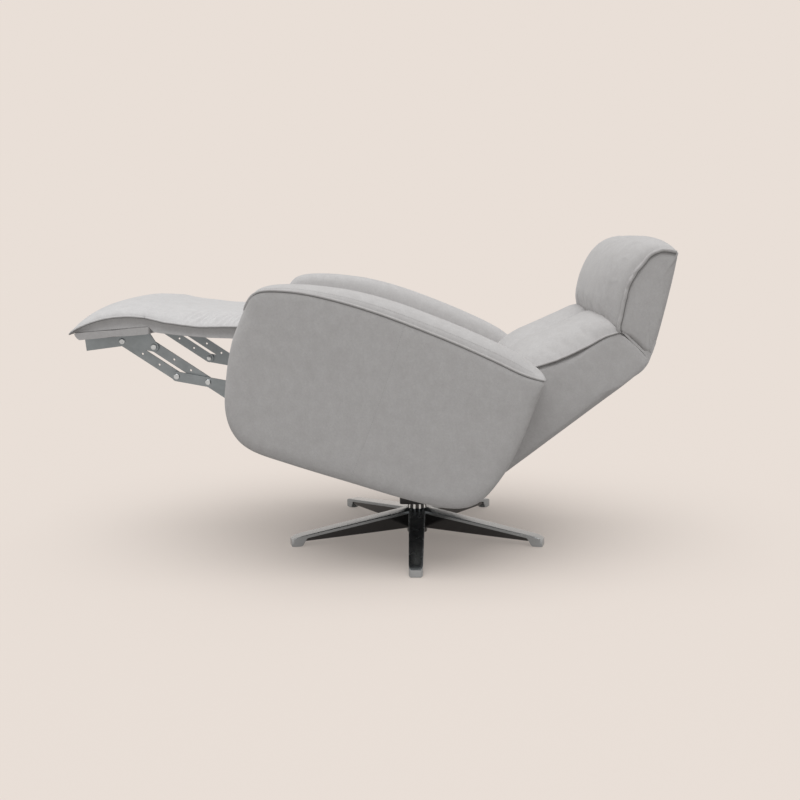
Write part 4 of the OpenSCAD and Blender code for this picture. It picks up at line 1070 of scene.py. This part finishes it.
def crown():
    """The hub's top: a flute between two legs, a small groove above each leg, and lands between. Its bright
    lands and black flutes and grooves, placed by angle, are painted reflection and painted shade.
    """
    v, f = turned(HUB_CROWN, 180)
    for p in v:
        rad = math.hypot(p[0], p[1])
        for start, away, r in ((36, 32.55, 9.0), (0, 29.5, 5.2)):
            off = math.radians(from_leg(p, start))
            reach = away * math.sin(off)
            if abs(reach) < r and p[2] > CROWN_FROM:
                cut = max(away * math.cos(off) - math.sqrt(r * r - reach ** 2), 21.0)
                if cut < rad:
                    p[:2] *= (rad + (cut - rad) * soft((p[2] - CROWN_FROM) / 4)) / rad
    mids = [v[list(face)].mean(0) for face in f]
    # Bright lands are painted reflection; black flutes and grooves are painted shade
    finish = [PAINTED_GLINT if mid[2] > 72 and 11 < abs(from_leg(mid, 0)) < 24 else BLACK_PAINT_AND_SHADE for mid in mids]
    return v, f, finish


def star_base():
    parts = []
    for i in range(LEGS):
        turn = np.array(Matrix.Rotation(2 * math.pi * i / LEGS, 3, "Z"))
        parts += [(v @ turn.T, f, finish) for v, f, finish in leg()]
    v, f = turned(HUB_FOOT, 180)
    parts += [(v, f, [BLACK_PAINT_AND_SHADE] * len(f)), crown()]
    v, f = joined(*[part[:2] for part in parts])
    o = make("star_base_casting", (v + (0, SETBACK, 0)) / 1000, f, SATIN, "base", sharp=32)
    o.data.materials.append(BLACK_METAL_AND_SHADE)
    o.data.materials.append(PAINTED_GLINT_METAL)
    o.data.polygons.foreach_set("material_index", [kind for part in parts for kind in part[2]])
    settle(o, ("star_base",))


star_base()

# Swivel
WASHER = [(14.2, 98), (22, 98), (22.4, 98.6), (22.4, 99.4), (22, 100), (14.2, 100)]
SPINDLE = [(0, 6), (12.6, 6), (13.4, 6.6), (13.6, 7), (12, 7.2), (12, 9.8), (13.9, 10), (13.9, 100),
           (36, 100), (36.6, 100.6), (36.6, 105.4), (36, 106), (0, 106)]
HOUSING_HALF_W, HOUSING_HALF_L, HOUSING_CORNER = 52, 47, 7
HOUSING = [(99.2, -2.5), (99.2, -1.2), (100.2, -0.3), (101.5, 0), (112, 0), (122, -0.6), (125, -1.6),
           (126, -3.2)]


def on_swivel(name, node, v, f, material, slot, sharp):
    o = make(name, (v + (0, SETBACK, 0)) / 1000, f, material, "swivel", sharp=sharp)
    settle(o, (node,))


def rounded_rectangle(hx, hy, r, z):
    corners = ((hx - r, hy - r, 0), (r - hx, hy - r, 90), (r - hx, r - hy, 180), (hx - r, r - hy, 270))
    return [(x + r * math.cos(a), y + r * math.sin(a), z) for x, y, start in corners
            for a in np.radians(np.linspace(start, start + 90, 7))]


def housing():
    """The black housing round the turntable flange, eased at its edges."""
    return loft([rounded_rectangle(HOUSING_HALF_W + grow, HOUSING_HALF_L + grow, HOUSING_CORNER, z)
                 for z, grow in HOUSING], rings=(0.9,))


on_swivel("thrust_washer_ring", "thrust_washer", *turned(WASHER, 72, bored=True), BEARING, "bearing_plastic",
          40)
on_swivel("spindle_turned", "spindle", *turned(SPINDLE, 72), ZINC, "zinc_steel", 40)
on_swivel("swivel_housing_shell", "swivel_housing", *housing(), BLACK, "black_plastic", 35)


# Rivets
def rivet(at):
    """A rivet through the stack of links, with a domed head on a washer at each end."""
    x0, x1 = RIVET_STACK
    profile = [(0, x0 - 3.0), (3.4, x0 - 2.9), (6.0, x0 - 2.3), (7.4, x0 - 1.3), (7.9, x0 - 0.5), (8.0, x0),
               (4.0, x0), (4.0, x1), (8.0, x1), (7.9, x1 + 0.5), (7.4, x1 + 1.3), (6.0, x1 + 2.3),
               (4.6, x1 + 2.7), (3.6, x1 + 2.5), (2.4, x1 + 2.2), (0, x1 + 2.1)]
    v, f = turned(profile, 28)
    v = np.stack([v[:, 2], v[:, 0] + at[0], v[:, 1] + at[1]], 1)
    return joined((v, f), (v * (-1, 1, 1), f))


def rivets(name, node, places, place, body):
    v, f = joined(*[rivet(at) for at in places])
    settle(make(name, world(v, place), f, RIVET, body, sharp=50), (node,))


rivets("link_rivets", "rear_link_rivets", (UPPER_RIVET, FRONT_RIVET), SEAT, "rear_link")
rivets("footrest_rivets", "bracket_rivets", ((0, 0), shown_in(np.linalg.inv(FOOT_IN_SEAT), LUG_RIVET)), FOOT,
       "footrest")


# Hard parts
def dress(names, material, width, segments=2):
    """Gives nodes of the frame a material, and an edge rounding of a width in millimetres."""
    for name in names:
        o = frame["nodes"][name]
        if not o.data.materials:
            o.data.materials.append(material)
        for i in range(len(o.data.materials)):
            o.data.materials[i] = material
        b = o.modifiers.new("edge", "BEVEL")
        b.width = width / 1000
        b.segments = segments
        b.limit_method = "ANGLE"
        b.angle_limit = math.radians(35)
        b.harden_normals = True


def left_and_right(*names):
    return [f"{name}_{side}" for name in names for side in ("left", "right")]


dress(left_and_right("mechanism_plate", "back_bar", "headrest_bar")
      + ["front_rail", "rear_rail", "tilt_bracket", "back_cross_tubes", "headrest_cross_tube"], DARK, 0.8)
dress(left_and_right("rear_link", "upper_link", "front_link", "control_link", "footrest_bracket")
      + ["link_cross_tube"], LINK, 0.5)
dress(("spindle", "spindle_clip", "tilt_shaft", "arm_bolts", "footrest_pivot_pins", "control_pivot_pins",
       "back_pivot_pins", "headrest_rod", "rear_link_rivets", "control_link_rivets", "bracket_rivets",
       "board_screws"), ZINC, 1.0, 3)
dress(("hub_bush", "thrust_washer", "tilt_bushes"), BEARING, 0.4)
dress(("swivel_housing",), BLACK, 3.0, 3)
dress(("foot_glides",), GREY, 1.5, 3)
dress(("seat_webbing",), WEB, 0.6)
dress(("footrest_board",), PLY, 1.0)
dress(left_and_right("arm_board"), LINING, 1.0)

# Floor, light and camera, in metres
SKY = (0.814, 0.737, 0.679)
FLOOR_HALF = 60.0
AMBIENT = 0.47
SUN_WIDTH, TO_SUN, SUN_SHARE = 62, (0.20, -0.05, 1.0), 0.9
LENS, SENSOR = 43.10, 36
EYE, VIEW_WAY, VIEW_ROLL = (2.5920, 0.1452, 0.8256), (-0.98520, -0.02868, -0.16899), -0.51


def shader(t, kind, colour, strength=None):
    n = t.nodes.new(kind)
    n.inputs[0].default_value = (*colour, 1)
    if strength is not None:
        n.inputs[1].default_value = strength
    return n.outputs[0]


def mix_shaders(t, fac, a, b):
    n = t.nodes.new("ShaderNodeMixShader")
    for value, socket in zip((fac, a, b), n.inputs):
        t.links.new(value, socket)
    return n.outputs[0]


def seen_or_lighting(t, lighting, seen):
    """One shader for the light that falls on things, and another for what is seen straight or in a gloss."""
    path = t.nodes.new("ShaderNodeLightPath")
    glossy = math_node(t, "MAXIMUM", path.outputs["Is Glossy Ray"], path.outputs["Is Transmission Ray"])
    return mix_shaders(t, math_node(t, "MAXIMUM", path.outputs["Is Camera Ray"], glossy), lighting, seen)


def add_floor():
    """A pale studio floor with a glow mixed in that grows away from the chair: painted light that fades its
    shadow out as on a lit sweep.
    """
    mesh = bpy.data.meshes.new("floor")
    s = FLOOR_HALF
    mesh.from_pydata([(-s, -s, 0), (s, -s, 0), (s, s, 0), (-s, s, 0)], [], [(0, 1, 2, 3)])
    floor = bpy.data.objects.new("floor", mesh)
    scene.collection.objects.link(floor)
    m = bpy.data.materials.new("studio_floor")
    m.use_nodes = True
    t = m.node_tree
    t.nodes.clear()
    place = t.nodes.new("ShaderNodeNewGeometry")
    apart = t.nodes.new("ShaderNodeVectorMath")
    apart.operation = "DISTANCE"
    apart.inputs[1].default_value = (0, SETBACK / 1000, 0)
    t.links.new(place.outputs["Position"], apart.inputs[0])
    # Glow mixed in, more of it further from the chair: painted light that lightens the shadow
    near = fit(t, apart.outputs["Value"], 0.2, 0.95, 0.24, 0.72)
    far = fit(t, apart.outputs["Value"], 0.95, 3.0, 0.0, 0.28)
    shaded = shader(t, "ShaderNodeBsdfDiffuse", scaled(SKY, 0.94))
    seen = mix_shaders(t, math_node(t, "ADD", near, far), shaded, shader(t, "ShaderNodeEmission", SKY))
    bounced = shader(t, "ShaderNodeBsdfDiffuse", (0.37, 0.36, 0.35))
    out = t.nodes.new("ShaderNodeOutputMaterial")
    t.links.new(seen_or_lighting(t, bounced, seen), out.inputs[0])
    mesh.materials.append(m)


def add_sky():
    w = bpy.data.worlds.new("studio")
    scene.world = w
    w.use_nodes = True
    t = w.node_tree
    t.nodes.clear()
    lighting = shader(t, "ShaderNodeBackground", (1, 1, 1), AMBIENT)
    seen = shader(t, "ShaderNodeBackground", SKY, 1.0)
    out = t.nodes.new("ShaderNodeOutputWorld")
    t.links.new(seen_or_lighting(t, lighting, seen), out.inputs[0])


def add_sun():
    """A broad, soft light from above, which makes up what the sky leaves."""
    data = bpy.data.lights.new("soft_sun", "SUN")
    data.angle = math.radians(SUN_WIDTH)
    way = Vector(TO_SUN).normalized()
    data.energy = (1.0 - AMBIENT) * math.pi / way.z / SUN_SHARE
    sun = bpy.data.objects.new("soft_sun", data)
    sun.rotation_euler = way.to_track_quat("Z", "Y").to_euler()
    scene.collection.objects.link(sun)


def add_camera():
    """The photo's camera, as fitted to its arms, leg rest and base."""
    data = bpy.data.cameras.new("camera")
    data.lens = LENS
    data.sensor_width = SENSOR
    camera = bpy.data.objects.new("camera", data)
    ahead = Vector(VIEW_WAY).normalized()
    level = ahead.cross(Vector((0, 0, 1))).normalized()
    roll = math.radians(VIEW_ROLL)
    right = level * math.cos(roll) + level.cross(ahead) * math.sin(roll)
    axes = Matrix((right, right.cross(ahead), -ahead)).transposed().to_4x4()
    camera.matrix_world = Matrix.Translation(EYE) @ axes
    scene.collection.objects.link(camera)
    scene.camera = camera


add_floor()
add_sky()
add_sun()
add_camera()
